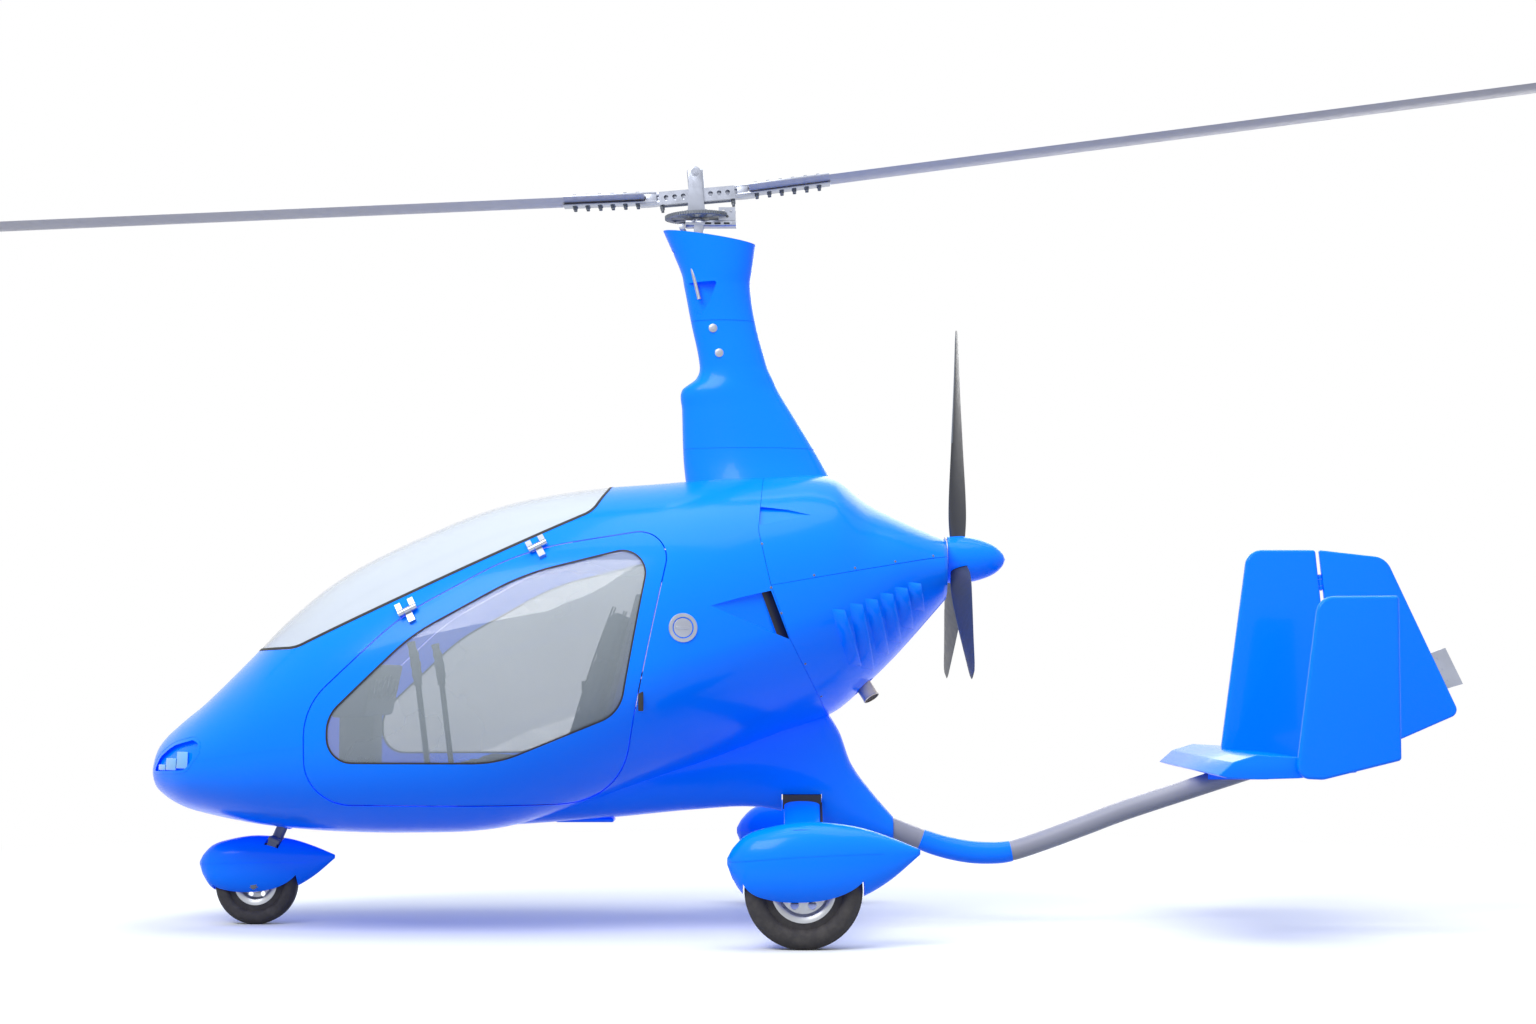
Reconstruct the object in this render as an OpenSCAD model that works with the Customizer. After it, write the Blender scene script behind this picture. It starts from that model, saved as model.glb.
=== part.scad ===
// Side-by-side two-seat gyrocopter, parked on its wheels.
// Millimetres. Nose towards -Y, tail towards +Y, left (port) side towards +X, +Z up.
// The origin is on the ground, on the centre line, midway between the two rotor blade tips.

/* [Rotor] */
// Radius from the rotor shaft to a blade tip
rotor_r = 4200; // [3900:10:4500]
// Chord of a rotor blade
blade_chord = 200; // [180:5:220]
// Thickness of a rotor blade
blade_t = 24; // [20:1:30]
// Forward lean of the rotor shaft, in degrees
shaft_lean = 2.3; // [0:0.1:4]
// Extra nose-down angle of the parked rotor about its teeter bolt, in degrees
park_teeter = 2.6; // [0:0.1:4]
// Upward angle of each blade from the hub bar, in degrees
coning = 2.5; // [1:0.1:3.5]
// Height of the teeter bolt above the ground
teeter_z = 2781; // [2760:1:2800]

/* [Fuselage] */
// Thickness of the fuselage walls
wall_t = 30; // [24:1:36]
// Thickness of the windscreen and the door windows
glass_t = 6; // [4:1:8]
// Gap round each door
door_gap = 7; // [6:0.5:9]

/* [Propeller] */
// Radius from the propeller shaft to a blade tip
prop_r = 851; // [800:1:870]
// Height of the propeller shaft
prop_z = 1338; // [1325:1:1350]
// Plane of the propeller blades
prop_y = 990; // [985:1:1000]

/* [Landing gear] */
// Radius of a main tyre
main_r = 197; // [180:1:200]
// Width of a main tyre
main_w = 104; // [90:1:110]
// Distance of a main wheel's middle from the centre line
main_x = 850; // [820:5:880]
// Distance of the main axles behind the origin
main_y = 412; // [390:1:430]
// Radius of the nose tyre
nose_r = 148; // [140:1:150]
// Width of the nose tyre
nose_w = 84; // [76:1:88]
// Distance of the nose axle behind the origin
nose_y = -1591; // [-1610:1:-1575]
// Rake of the nose leg from upright, in degrees
nose_rake = 23.6; // [20:0.1:26]

/* [Tail] */
// Radius of the keel tube
keel_r = 36; // [32:1:38]
// Distance of each outer fin from the centre line
outer_fin_x = 700; // [660:5:740]
// Thickness of the fins and the rudder
fin_t = 34; // [28:1:40]

/* [Hidden] */

$fn = 64;
// Shaft to bore clearance of every turning fit, on the radius
run_fit = 0.05;
// Clearance of what is let into a panel or lies against a wall
seat_fit = 0.2;
// Sides of a lofted fuselage section
pod_sides = 40;

// Colours
paint = [0.02, 0.36, 0.95];
dark = [0.10, 0.10, 0.11];
silver = [0.72, 0.74, 0.78];
grey = [0.45, 0.46, 0.48];
clear_glass = [0.75, 0.80, 0.83, 0.4];

// Fuselage sections. Columns: y, top z, z of the widest line, bottom z, half width,
// roundness of the upper half and of the lower half (2 is an ellipse, more is boxier).
POD = [
    [-1968, 600, 560, 520, 60, 2.0, 2.0],
    [-1930, 672, 560, 478, 190, 2.0, 2.0],
    [-1850, 745, 575, 432, 310, 2.1, 2.2],
    [-1757, 820, 600, 405, 400, 2.1, 2.3],
    [-1584, 990, 650, 372, 500, 2.1, 2.5],
    [-1443, 1134, 700, 355, 560, 2.2, 2.6],
    [-1258, 1278, 750, 343, 610, 2.3, 2.7],
    [-1000, 1412, 800, 339, 655, 2.3, 2.7],
    [-703, 1530, 850, 353, 685, 2.3, 2.6],
    [-400, 1590, 900, 430, 690, 2.4, 2.3],
    [-100, 1615, 960, 530, 680, 2.4, 2.0],
    [100, 1632, 1010, 600, 630, 2.4, 1.9],
    [300, 1642, 1070, 680, 550, 2.3, 1.85],
    [530, 1642, 1160, 775, 440, 2.1, 1.85],
    [660, 1548, 1220, 885, 360, 2.0, 1.9],
    [780, 1486, 1270, 1005, 280, 2.0, 1.95],
    [943, 1412, 1300, 1190, 165, 2.0, 2.0]];

// Keel fairing sections. Columns: y, top z, bottom z, half width.
KEEL = [
    [-820, 470, 352, 150],
    [-333, 640, 386, 235],
    [37, 780, 420, 175],
    [259, 850, 427, 130],
    [470, 810, 375, 95],
    [548, 708, 350, 78],
    [592, 590, 340, 66],
    [666, 486, 326, 54],
    [747, 392, 310, 42]];

// Mast fairing sections. Columns: z, front y, rear y, half width.
MAST = [
    [1560, -10, 560, 150],
    [1707, -26, 481, 112],
    [1892, -32, 370, 90],
    [1967, -33, 325, 84],
    [2011, 20, 305, 78],
    [2059, 33, 284, 75],
    [2225, 0, 240, 74],
    [2355, -25, 222, 82],
    [2410, -37, 228, 88],
    [2580, -110, 252, 104]];

// Spat sections as fractions of its length, height and width.
// Columns: distance from the front, top, bottom, half width.
SPAT = [
    [0.00, 0.58, 0.50, 0.10],
    [0.03, 0.70, 0.33, 0.42],
    [0.10, 0.85, 0.12, 0.78],
    [0.22, 0.94, 0.03, 0.97],
    [0.38, 1.00, 0.00, 1.00],
    [0.54, 0.99, 0.03, 0.92],
    [0.70, 0.93, 0.13, 0.70],
    [0.85, 0.82, 0.33, 0.40],
    [1.00, 0.68, 0.62, 0.06]];

// Side outlines, as corners. Columns: y, z, corner radius.
DOOR = [[-1312, 462, 150], [-1312, 800, 240], [-975, 1118, 900], [-560, 1345, 1000],
    [-36, 1430, 95], [-236, 455, 260]];
WINDOW = [[-1234, 605, 90], [-1234, 770, 130], [-940, 1052, 700], [-560, 1262, 900],
    [-106, 1376, 85], [-214, 778, 130], [-640, 605, 420]];
WINDSCREEN = [[-2100, 985, 0], [-1365, 1003, 160], [-326, 1488, 90], [-281, 1580, 60],
    [-276, 1900, 0], [-2100, 1900, 0]];
COWL = [[300, 2000, 0], [258, 1420, 120], [302, 1227, 300], [369, 1038, 300], [480, 820, 300],
    [560, 640, 0], [1200, 500, 0], [1200, 2000, 0]];
UPPER_COWL = [[200, 1205, 0], [860, 1330, 200], [1000, 1350, 0], [1200, 2000, 0], [200, 2000, 0]];
OUTER_FIN = [[2085, 560, 45], [2172, 1180, 60], [2446, 1182, 12], [2446, 622, 14], [2180, 556, 60]];

// Tailplane section. Columns: y, z.
TAILPLANE = [[1840, 588], [1880, 622], [1960, 640], [2100, 632], [2300, 590], [2300, 580],
    [2100, 560], [1960, 556], [1860, 565]];

// Heights and stations of the cabin
seam_nose_y = -1345;
belly_z = 440;
roof_z = 1470;
bulkhead_y = 70;
bulkhead_t = 20;
floor_z = 430;
rear_end_y = POD[len(POD) - 1][0];
nose_end_y = POD[0][0];

// Left door's hinge line, just outside the skin over the door gap, and the skin's normal at each hinge
hinge_a = [609, -957, 1136];
hinge_b = [570, -511, 1361];
HINGES = [[hinge_a, [0.862, -0.237, 0.448]], [hinge_b, [0.775, -0.14, 0.616]]];
hinge_dir = (hinge_b - hinge_a) / norm(hinge_b - hinge_a);
hinge_pin_r = 5;
hinge_out_r = 11;
hinge_half = 34;
hinge_room = 5.2;
hinge_leaf = 46;
leaf_deep = 21;
leaf_out = 5;
leaf_from = 8.5;

// Rotor geometry
shaft_r = 20;
rotor_tilt = shaft_lean + park_teeter;
hub_y = rotor_r * (cos(rotor_tilt - coning) - cos(rotor_tilt + coning)) / 2;
clamp_t = 8;
blade_root = 196;
teeter_pin_r = 8;

// Mast, its fairing's rim and the rotor head's two lower pivots
mast_half = 35;
mast_front = 48;
mast_rear = 126;
mast_foot_z = 1100;
mast_top_z = 2480;
mast_rim_y = -107;
mast_rim_z = 2566;
mast_rim_slope = 8.9;
mast_dish_z = 2478;
head_pin_r = 8;
lug_t = 14;
roll_pin_front = -50;
roll_pin_rear = 112;
roll_pin_z = 2520;
pitch_pin_y = 30;
pitch_pin_z = 2556;

// Rudder hinge line, bottom and top, and the gap from it to the fin's and the rudder's edges
rudder_low = [0, 2395, 556];
rudder_top = [0, 2317, 1373];
rudder_dir = (rudder_top - rudder_low) / norm(rudder_top - rudder_low);
rudder_gap = 7;
// Rudder hinges: distance of each up the hinge line, length of the rudder's knuckle and of the fin's
RUDDER_HINGES = [150, 420, 700];
rudder_knuckle = 24;
fin_knuckle = 14;
rudder_pin_r = 5;
rudder_knuckle_r = 9;

// Height of the fin's and the rudder's bottom corners at the hinge line, and of their top corners
tail_root_z = 590;
tail_top_z = 1373;

// Fuel filler cap
cap_r = 51;
cap_z = 1074;
cap_x = 636;
cap_t = 26;

// Wheel axles
axle_r = 12;
nose_dir = [0, sin(nose_rake), cos(nose_rake)];

// ---- Functions ----

// A number raised to a power, keeping its sign
function signed_pow(v, p) = sign(v) * pow(abs(v), p);

// Slope of one column of a table at a row, from its neighbours
function slope(t, i, c) =
    let (a = max(i - 1, 0), b = min(i + 1, len(t) - 1))
    (t[b][c] - t[a][c]) / (t[b][0] - t[a][0]);

// Smooth curve between two values a and b with end slopes ma and mb, over a step h
function blend(a, b, ma, mb, h, u) =
    (2 * u * u * u - 3 * u * u + 1) * a + (u * u * u - 2 * u * u + u) * h * ma
    + (3 * u * u - 2 * u * u * u) * b + (u * u * u - u * u) * h * mb;

// Row number of a table that starts the span holding a station
function span_of(t, s, i = 0) = (i >= len(t) - 2 || s < t[i + 1][0]) ? i : span_of(t, s, i + 1);

// A full row of a table at any station between its ends
function row_at(t, s) =
    let (i = span_of(t, s), h = t[i + 1][0] - t[i][0], u = (s - t[i][0]) / h)
    [for (c = [0:len(t[0]) - 1])
        c == 0 ? s : blend(t[i][c], t[i + 1][c], slope(t, i, c), slope(t, i + 1, c), h, u)];

// Stations of a table, each span cut in equal steps
function stations(t, steps) =
    [for (i = [0:len(t) - 2], k = [0:steps - 1]) t[i][0] + (t[i + 1][0] - t[i][0]) * k / steps,
        t[len(t) - 1][0]];

// Points of an arc that rounds the corner b between a and c
function corner(a, b, c, r, steps = 8) =
    let (u = (a - b) / norm(a - b), v = (c - b) / norm(c - b), half = acos(u * v) / 2)
    r == 0 || half > 89.5 ? [b] :
    let (d = r / sin(half), mid = (u + v) / norm(u + v), o = b + mid * d,
        from = b + u * r / tan(half), to = b + v * r / tan(half),
        a0 = atan2(from[1] - o[1], from[0] - o[0]), a1 = atan2(to[1] - o[1], to[0] - o[0]),
        turn = a1 - a0 > 180 ? a1 - a0 - 360 : (a1 - a0 < -180 ? a1 - a0 + 360 : a1 - a0))
    [for (k = [0:steps]) o + r * [cos(a0 + turn * k / steps), sin(a0 + turn * k / steps)]];

// A closed outline with rounded corners, from a table of y, z, radius
function rounded(t) =
    let (n = len(t))
    [for (i = [0:n - 1])
        let (a = t[(i + n - 1) % n], b = t[i], c = t[(i + 1) % n])
        each corner([a[0], a[1]], [b[0], b[1]], [c[0], c[1]], b[2])];

// Radius of a faceted hole whose flats just touch a round bar
function hole_for(r, n = $fn) = r / cos(180 / n);

// One fuselage ring, drawn in by an inset
function pod_ring(y, inset) =
    let (r = row_at(POD, y))
    [for (k = [0:pod_sides - 1])
        let (a = 360 * k / pod_sides, up = k < pod_sides / 2,
            h = up ? r[1] - r[2] : r[2] - r[3], p = up ? r[5] : r[6])
        [(r[4] - inset) * signed_pow(cos(a), 2 / p), y, r[2] + (h - inset) * signed_pow(sin(a), 2 / p)]];

// Y of the rudder's hinge line at a height
function hinge_line_y(z) =
    rudder_low[1] + (z - rudder_low[2]) * (rudder_top[1] - rudder_low[1]) / (rudder_top[2] - rudder_low[2]);

// ---- General modules ----

// Solid through a list of rings with the same number of points
module loft(rings) {
    n = len(rings[0]);
    last = len(rings) - 1;
    sides = [for (i = [0:last - 1], k = [0:n - 1])
        let (a = i * n + k, b = i * n + (k + 1) % n)
        each [[a, b, b + n], [a, b + n, a + n]]];
    caps = [[for (k = [n - 1:-1:0]) k], [for (k = [0:n - 1]) last * n + k]];
    polyhedron([for (ring = rings) each ring], concat(sides, caps), convexity = 8);
}

// Makes its children one faceted skin
module one_skin() resize([0, 0, 0]) children();

// Prism along X with a side outline
module side_prism(outline, x0, x1)
    translate([x0, 0, 0]) rotate([90, 0, 90]) linear_extrude(x1 - x0) polygon(outline);

// The same prism grown by a gap
module grown_prism(outline, x0, x1, grow)
    translate([x0, 0, 0]) rotate([90, 0, 90]) linear_extrude(x1 - x0) offset(delta = grow) polygon(outline);

// Round bar from one point to another
module bar(a, b, r) {
    d = b - a;
    translate(a)
        rotate([0, acos(d[2] / norm(d)), atan2(d[1], d[0])])
            cylinder(h = norm(d), r = r);
}

// Box from its low corner to its high corner
module block(low, high) translate(low) cube(high - low);

// Draws its children on the left, or mirrored on the right
module on_side(side) mirror([side < 0 ? 1 : 0, 0, 0]) children();

// ---- Fuselage ----

module pod(inset = 0) {
    front = nose_end_y + inset * 1.2;
    back = rear_end_y - inset * 0.5;
    k = (back - front) / (rear_end_y - nose_end_y);
    loft([for (y = stations(POD, 2)) pod_ring(front + (y - nose_end_y) * k, inset)]);
}

module pod_shell(t = wall_t) {
    difference() {
        pod();
        pod(t);
    }
}

// Everything ahead of, behind, above or below a plane, as large boxes
module ahead_of(y) block([-1500, -3000, -500], [1500, y, 3000]);
module behind(y) block([-1500, y, -500], [1500, 2500, 3000]);
module below(z) block([-1500, -3000, -500], [1500, 2500, z]);
module above(z) block([-1500, -3000, z], [1500, 2500, 3500]);

module keel_solid(inset = 0)
    loft([for (y = stations(KEEL, 3))
        let (r = row_at(KEEL, y), m = (r[1] + r[2]) / 2, h = (r[1] - r[2]) / 2)
        [for (k = [0:23]) let (c = cos(k * 15), q = sin(k * 15))
            [(r[3] - inset) * signed_pow(c, 0.8), y, m + (h - inset) * signed_pow(q, 0.9)]]]);

module nose_shell() color(paint) one_skin() difference() {
    pod_shell();
    behind(seam_nose_y);
    side_prism(rounded(WINDSCREEN), -900, 900);
    for (s = [-1, 1]) nose_light_block(s);
    bar(leg_point(180), leg_point(420), hole_for(leg_out_r));
}

module belly_pan() color(paint) one_skin() difference() {
    intersection() {
        pod_shell();
        below(belly_z);
        behind(seam_nose_y);
    }
    side_prism(rounded(COWL), -900, 900);
    keel_solid();
    bar(leg_point(180), leg_point(420), hole_for(leg_out_r));
}

module windscreen() color(clear_glass) one_skin() intersection() {
    pod_shell(glass_t);
    grown_prism(rounded(WINDSCREEN), -900, 900, -seat_fit);
}

module roof_panel() color(paint) one_skin() difference() {
    intersection() {
        pod_shell();
        above(roof_z);
    }
    side_prism(rounded(WINDSCREEN), -900, 900);
    side_prism(rounded(COWL), -900, 900);
    mast_solid();
}

// Everything on one side of the centre line, from a distance out
module one_side(side, from = 0)
    block([side > 0 ? from : -900, -3000, -500], [side > 0 ? 900 : -from, 3000, 3500]);

module side_panel(side) color(paint) one_skin() difference() {
    intersection() {
        pod_shell();
        block([-900, seam_nose_y, belly_z], [900, 1000, roof_z]);
        one_side(side);
    }
    side_prism(rounded(WINDSCREEN), -900, 900);
    side_prism(rounded(COWL), -900, 900);
    intersection() {
        grown_prism(rounded(DOOR), -900, 900, door_gap);
        one_side(side, 200);
    }
    keel_solid();
    on_side(side) bracket_leaves();
    on_side(side) hinge_notches();
    if (side > 0) cap_disc(hole_for(cap_r + seat_fit), 60);
}

module cowl() {
    difference() {
        intersection() {
            pod_shell();
            side_prism(rounded(COWL), -900, 900);
        }
        keel_solid();
        bar([0, 800, prop_z], [0, 1100, prop_z], 70);
    }
}

module upper_cowl() color(paint) one_skin() difference() {
    intersection() {
        cowl();
        side_prism(rounded(UPPER_COWL), -900, 900);
    }
    mast_solid();
}

module lower_cowl() color(paint) one_skin() difference() {
    cowl();
    side_prism(rounded(UPPER_COWL), -900, 900);
    bar(exhaust_a, exhaust_b, 40);
}

module keel_fairing() color(paint) one_skin() difference() {
    keel_solid();
    pod(wall_t);
    bow_prism();
    keel_bars(hole_for(keel_r));
}

module mast_ring_loft(inset = 0)
    loft([for (z = stations(MAST, 2))
        let (r = row_at(MAST, z), m = (r[1] + r[2]) / 2, h = (r[2] - r[1]) / 2)
        [for (k = [0:31]) let (a = k * 11.25)
            [(r[3] - inset) * signed_pow(cos(a), 0.9), m - (h - inset) * sin(a), z]]]);

module mast_solid() mast_ring_loft();

module mast_fairing() color(paint) one_skin() difference() {
    mast_solid();
    pod(wall_t);
    mast_bar();
    // The rim falls towards the back
    translate([0, mast_rim_y, mast_rim_z]) rotate([-mast_rim_slope, 0, 0])
        block([-300, -100, 0], [300, 500, 200]);
    // The hollow that the rotor head sits in
    hull() {
        translate([0, -30, mast_dish_z]) cylinder(h = 200, r1 = 42, r2 = 60, $fn = 32);
        translate([0, 165, mast_dish_z]) cylinder(h = 200, r1 = 45, r2 = 62, $fn = 32);
    }
}

module mast_bar() block([-mast_half, mast_front, mast_foot_z], [mast_half, mast_rear, mast_top_z]);

module mast() color(grey) {
    mast_bar();
    block([-mast_half, roll_pin_front, mast_top_z], [mast_half, mast_rear, mast_top_z + 12]);
    for (y = [roll_pin_front, roll_pin_rear - lug_t]) {
        block([-20, y, mast_top_z], [20, y + lug_t, roll_pin_z + 18]);
    }
    bar([0, roll_pin_front, roll_pin_z], [0, roll_pin_rear, roll_pin_z], head_pin_r);
}

module rear_bulkhead() color(dark) one_skin() difference() {
    intersection() {
        pod(wall_t + seat_fit);
        block([-900, bulkhead_y, 300], [900, bulkhead_y + bulkhead_t, 2000]);
    }
    mast_solid();
    mast_bar();
}

module cabin_floor() color(dark) one_skin() difference() {
    intersection() {
        pod(wall_t + seat_fit);
        block([-900, -1700, floor_z - 12], [900, -420, floor_z]);
    }
    bar(leg_point(180), leg_point(420), hole_for(leg_out_r));
}

// ---- Engine ----

gearbox_r = 60;
engine_low = 1075;
exhaust_a = [0, 560, 1000];
exhaust_b = [60, 668, 826];
exhaust_r = 30;

module engine() color(dark) difference() {
    union() {
        block([-230, 200, engine_low], [230, 600, 1415]);
        bar([0, 560, prop_z], [0, 915, prop_z], gearbox_r);
        for (x = [-150, 150], z = [1120, 1340]) bar([x, bulkhead_y + bulkhead_t, z], [x, 240, z], 12);
    }
    bar([0, 760, prop_z], [0, 940, prop_z], shaft_r + run_fit);
}

module exhaust_pipe() color(silver) difference() {
    union() {
        bar([exhaust_a[0], exhaust_a[1], engine_low], exhaust_a, exhaust_r);
        translate(exhaust_a) sphere(r = exhaust_r + weld_bead);
        bar(exhaust_a, exhaust_b, exhaust_r);
    }
    bar((exhaust_a + exhaust_b) / 2, exhaust_b + (exhaust_b - exhaust_a), exhaust_r - 3);
}

module cap_disc(r, t) bar([cap_x - (t - cap_t) / 2, 0, cap_z], [cap_x + (t + cap_t) / 2, 0, cap_z], r);

module fuel_cap() color(dark) cap_disc(cap_r, cap_t);

// ---- Nose lights ----

module nose_light_block(side)
    on_side(side) block([120, -1905, 600], [230, -1790, 650]);

module nose_lights() color(clear_glass) one_skin() intersection() {
    pod(4);
    for (s = [-1, 1]) nose_light_block(s);
}

// ---- Cabin ----

module seat(side) color(dark) one_skin() on_side(side) intersection() {
    pod(wall_t + 8);
    union() {
        block([80, -800, floor_z], [540, -300, 520]);
        hull() {
            block([70, -850, 590], [540, -835, 640]);
            block([70, -430, 500], [540, -330, 590]);
            block([70, -850, 500], [540, -430, 520]);
        }
        hull() {
            block([80, -430, 560], [530, -330, 600]);
            block([110, -235, 1180], [500, -150, 1200]);
        }
    }
}

module instrument_panel() color(dark) {
    side_prism([[-1270, 760], [-1225, 950], [-1110, 950], [-1150, 760]], -330, 330);
    block([-110, -1280, floor_z], [110, -1150, 760]);
}

module control_stick(side) color(dark) on_side(side) {
    bar([310, -905, floor_z], [310, -905, floor_z + 40], 26);
    bar([310, -905, floor_z + 20], [310, -960, 880], 11);
    bar([310, -960, 880], [310, -985, 1030], 19);
}

module rudder_pedals() color(grey) {
    for (x = [-290, -190, 190, 290]) block([x - 34, -1480, floor_z + 60], [x + 34, -1468, floor_z + 170]);
    block([-330, -1496, floor_z + 110], [330, -1480, floor_z + 126]);
    for (x = [-120, 120]) block([x - 8, -1496, floor_z], [x + 8, -1480, floor_z + 110]);
}

// ---- Doors ----

module door(side) color(paint) one_skin() difference() {
    intersection() {
        pod_shell();
        side_prism(rounded(DOOR), -900, 900);
        one_side(side, 250);
    }
    side_prism(rounded(WINDOW), -900, 900);
    on_side(side) strap_leaves();
    on_side(side) hinge_notches();
}

module door_window(side) color(clear_glass) one_skin() intersection() {
    difference() {
        pod(8);
        pod(8 + glass_t);
    }
    grown_prism(rounded(WINDOW), -900, 900, -seat_fit);
    one_side(side, 250);
}

// Puts its children at a hinge: x out of the skin, y down along it, z along the hinge line
module at_hinge(hinge) {
    n = hinge[1] - (hinge[1] * hinge_dir) * hinge_dir;
    out = n / norm(n);
    down = cross(hinge_dir, out);
    p = hinge[0];
    multmatrix([[out[0], down[0], hinge_dir[0], p[0]], [out[1], down[1], hinge_dir[1], p[1]],
        [out[2], down[2], hinge_dir[2], p[2]], [0, 0, 0, 1]]) children();
}

// The two bracket leaves of each hinge, let into the fuselage side
module bracket_leaves()
    for (h = HINGES) at_hinge(h)
        for (z = [-hinge_half, 14]) block([-leaf_deep, -hinge_leaf, z], [-leaf_out, -leaf_from, z + 20]);

// The strap leaf of each hinge, let into the door
module strap_leaves()
    for (h = HINGES) at_hinge(h) block([-leaf_deep, leaf_from, -12], [-leaf_out, hinge_leaf, 12]);

// Room for each hinge's knuckles in the panel edges beside them
module hinge_notches()
    for (h = HINGES) at_hinge(h)
        translate([0, 0, -hinge_half - hinge_room])
            cylinder(h = 2 * (hinge_half + hinge_room), r = hinge_out_r + hinge_room);

module door_hinge(side) color(dark) on_side(side) {
    bracket_leaves();
    for (h = HINGES) at_hinge(h) {
        translate([0, 0, -hinge_half]) cylinder(h = 2 * hinge_half, r = hinge_pin_r);
        for (z = [-hinge_half, 14]) translate([0, 0, z]) cylinder(h = 20, r = hinge_out_r);
    }
}

module door_strap(side) color(dark) on_side(side) difference() {
    union() {
        strap_leaves();
        for (h = HINGES) at_hinge(h) translate([0, 0, -12]) cylinder(h = 24, r = hinge_out_r);
    }
    for (h = HINGES) at_hinge(h) translate([0, 0, -30]) cylinder(h = 60, r = hinge_pin_r + run_fit);
}

// ---- Landing gear ----

bow_half_chord = 65;

module bow_prism()
    translate([0, main_y + bow_half_chord, 0]) rotate([90, 0, 0]) linear_extrude(2 * bow_half_chord)
        polygon([[-140, 462], [140, 462], [700, 232], [742, 232], [742, 178], [690, 178],
            [130, 430], [-130, 430], [-690, 178], [-742, 178], [-742, 232], [-700, 232]]);

module main_gear_bow() color(paint) {
    bow_prism();
    for (s = [-1, 1]) bar([s * 710, main_y, main_r], [s * 895, main_y, main_r], axle_r);
}

spat_front = 157;
spat_rear = 802;
spat_low = 137;
spat_high = 421;
spat_half = 105;

module spat_solid(y0, y1, z0, z1, half)
    loft([for (f = stations(SPAT, 2))
        let (r = row_at(SPAT, f), zt = z0 + (z1 - z0) * r[1], zb = z0 + (z1 - z0) * r[2],
            m = (zt + zb) / 2, h = (zt - zb) / 2)
        [for (k = [0:23]) let (a = k * 15)
            [half * r[3] * signed_pow(cos(a), 0.85), y0 + (y1 - y0) * f, m + h * signed_pow(sin(a), 0.85)]]]);

module main_spat(side) color(paint) one_skin() on_side(side) difference() {
    translate([main_x, 0, 0]) spat_solid(spat_front, spat_rear, spat_low, spat_high, spat_half);
    bar([main_x - main_w / 2 - 12, main_y, main_r], [main_x + main_w / 2 + 12, main_y, main_r],
        hole_for(main_r + 9));
    bar([main_x - 200, main_y, main_r], [main_x, main_y, main_r], hole_for(axle_r + 0.5));
    bow_prism();
}

// Tyre section. Columns: fraction of the way from the bead to the tread, fraction of half the width.
TYRE = [[0, 0.70], [0.2, 0.93], [0.45, 1], [0.7, 0.93], [0.87, 0.74], [0.96, 0.5], [1, 0.22]];

module tyre_ring(r, w, bead) {
    low = bead + seat_fit;
    half = [for (p = TYRE) [low + (r - low) * p[0], p[1] * w / 2]];
    mirrored = [for (i = [len(half) - 1:-1:0]) [half[i][0], -half[i][1]]];
    rotate([0, 90, 0]) rotate_extrude() polygon(concat(half, mirrored));
}

module wheel_rim(bead, w, bore)
    rotate([0, 90, 0]) rotate_extrude() {
        translate([bore, -w * 0.4]) square([22, w * 0.8]);
        translate([bore, -6]) square([bead - bore, 12]);
        translate([bead - 12, -w * 0.36]) square([12, w * 0.72]);
    }

module main_tyre(side) color(dark)
    translate([side * main_x, main_y, main_r]) tyre_ring(main_r, main_w, 102);

module main_rim(side) color(silver)
    translate([side * main_x, main_y, main_r]) wheel_rim(102, main_w, axle_r + run_fit);

// A point on the raked nose leg's axis, a distance up from the axle
leg_out_r = 32;
leg_in_r = 20;
function leg_point(s) = [0, nose_y, nose_r] + nose_dir * s;

module nose_leg_housing() color(dark) difference() {
    bar(leg_point(228), leg_point(330), leg_out_r);
    bar(leg_point(200), leg_point(400), leg_in_r + run_fit);
}

// Puts its children at the nose axle, upright along the raked leg
module at_nose_leg() translate([0, nose_y, nose_r]) rotate([-nose_rake, 0, 0]) children();

module nose_fork() color(dark) {
    bar(leg_point(176), leg_point(322), leg_in_r);
    at_nose_leg() block([-58, -22, 164], [58, 22, 182]);
    for (s = [-1, 1]) at_nose_leg() block([s * 53 - 5, -18, 0], [s * 53 + 5, 18, 170]);
    bar([-70, nose_y, nose_r], [70, nose_y, nose_r], axle_r);
}

module nose_spat() color(paint) one_skin() difference() {
    spat_solid(-1802, -1306, 104, 322, 83);
    bar([-50, nose_y, nose_r], [50, nose_y, nose_r], hole_for(nose_r + 8));
    bar([-70, nose_y, nose_r], [70, nose_y, nose_r], hole_for(20));
    at_nose_leg() block([-60, -26, 0], [60, 26, 260]);
}

module nose_tyre() color(dark)
    translate([0, nose_y, nose_r]) tyre_ring(nose_r, nose_w, 72);

module nose_rim() color(silver)
    translate([0, nose_y, nose_r]) wheel_rim(72, nose_w, axle_r + run_fit);

// ---- Tail ----

KEEL_LINE = [[0, 560, 420], [0, 800, 332], [0, 1010, 262], [0, 1170, 262], [0, 1560, 404], [0, 2130, 588]];

// How far each welded joint of the keel tube stands out
weld_bead = 1.5;

module keel_bars(r)
    for (i = [0:len(KEEL_LINE) - 2]) {
        bar(KEEL_LINE[i], KEEL_LINE[i + 1], r);
        if (i > 0) translate(KEEL_LINE[i]) sphere(r = r + weld_bead);
    }

module keel_tube() color(grey) keel_bars(keel_r);

module tailplane() color(paint) one_skin() difference() {
    side_prism(TAILPLANE, -outer_fin_x + fin_t / 2, outer_fin_x - fin_t / 2);
    keel_bars(hole_for(keel_r));
}

// A round bar on the rudder's hinge line, a distance up it
module on_rudder_hinge(from, length, r)
    bar(rudder_low + rudder_dir * from, rudder_low + rudder_dir * (from + length), r);

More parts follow.
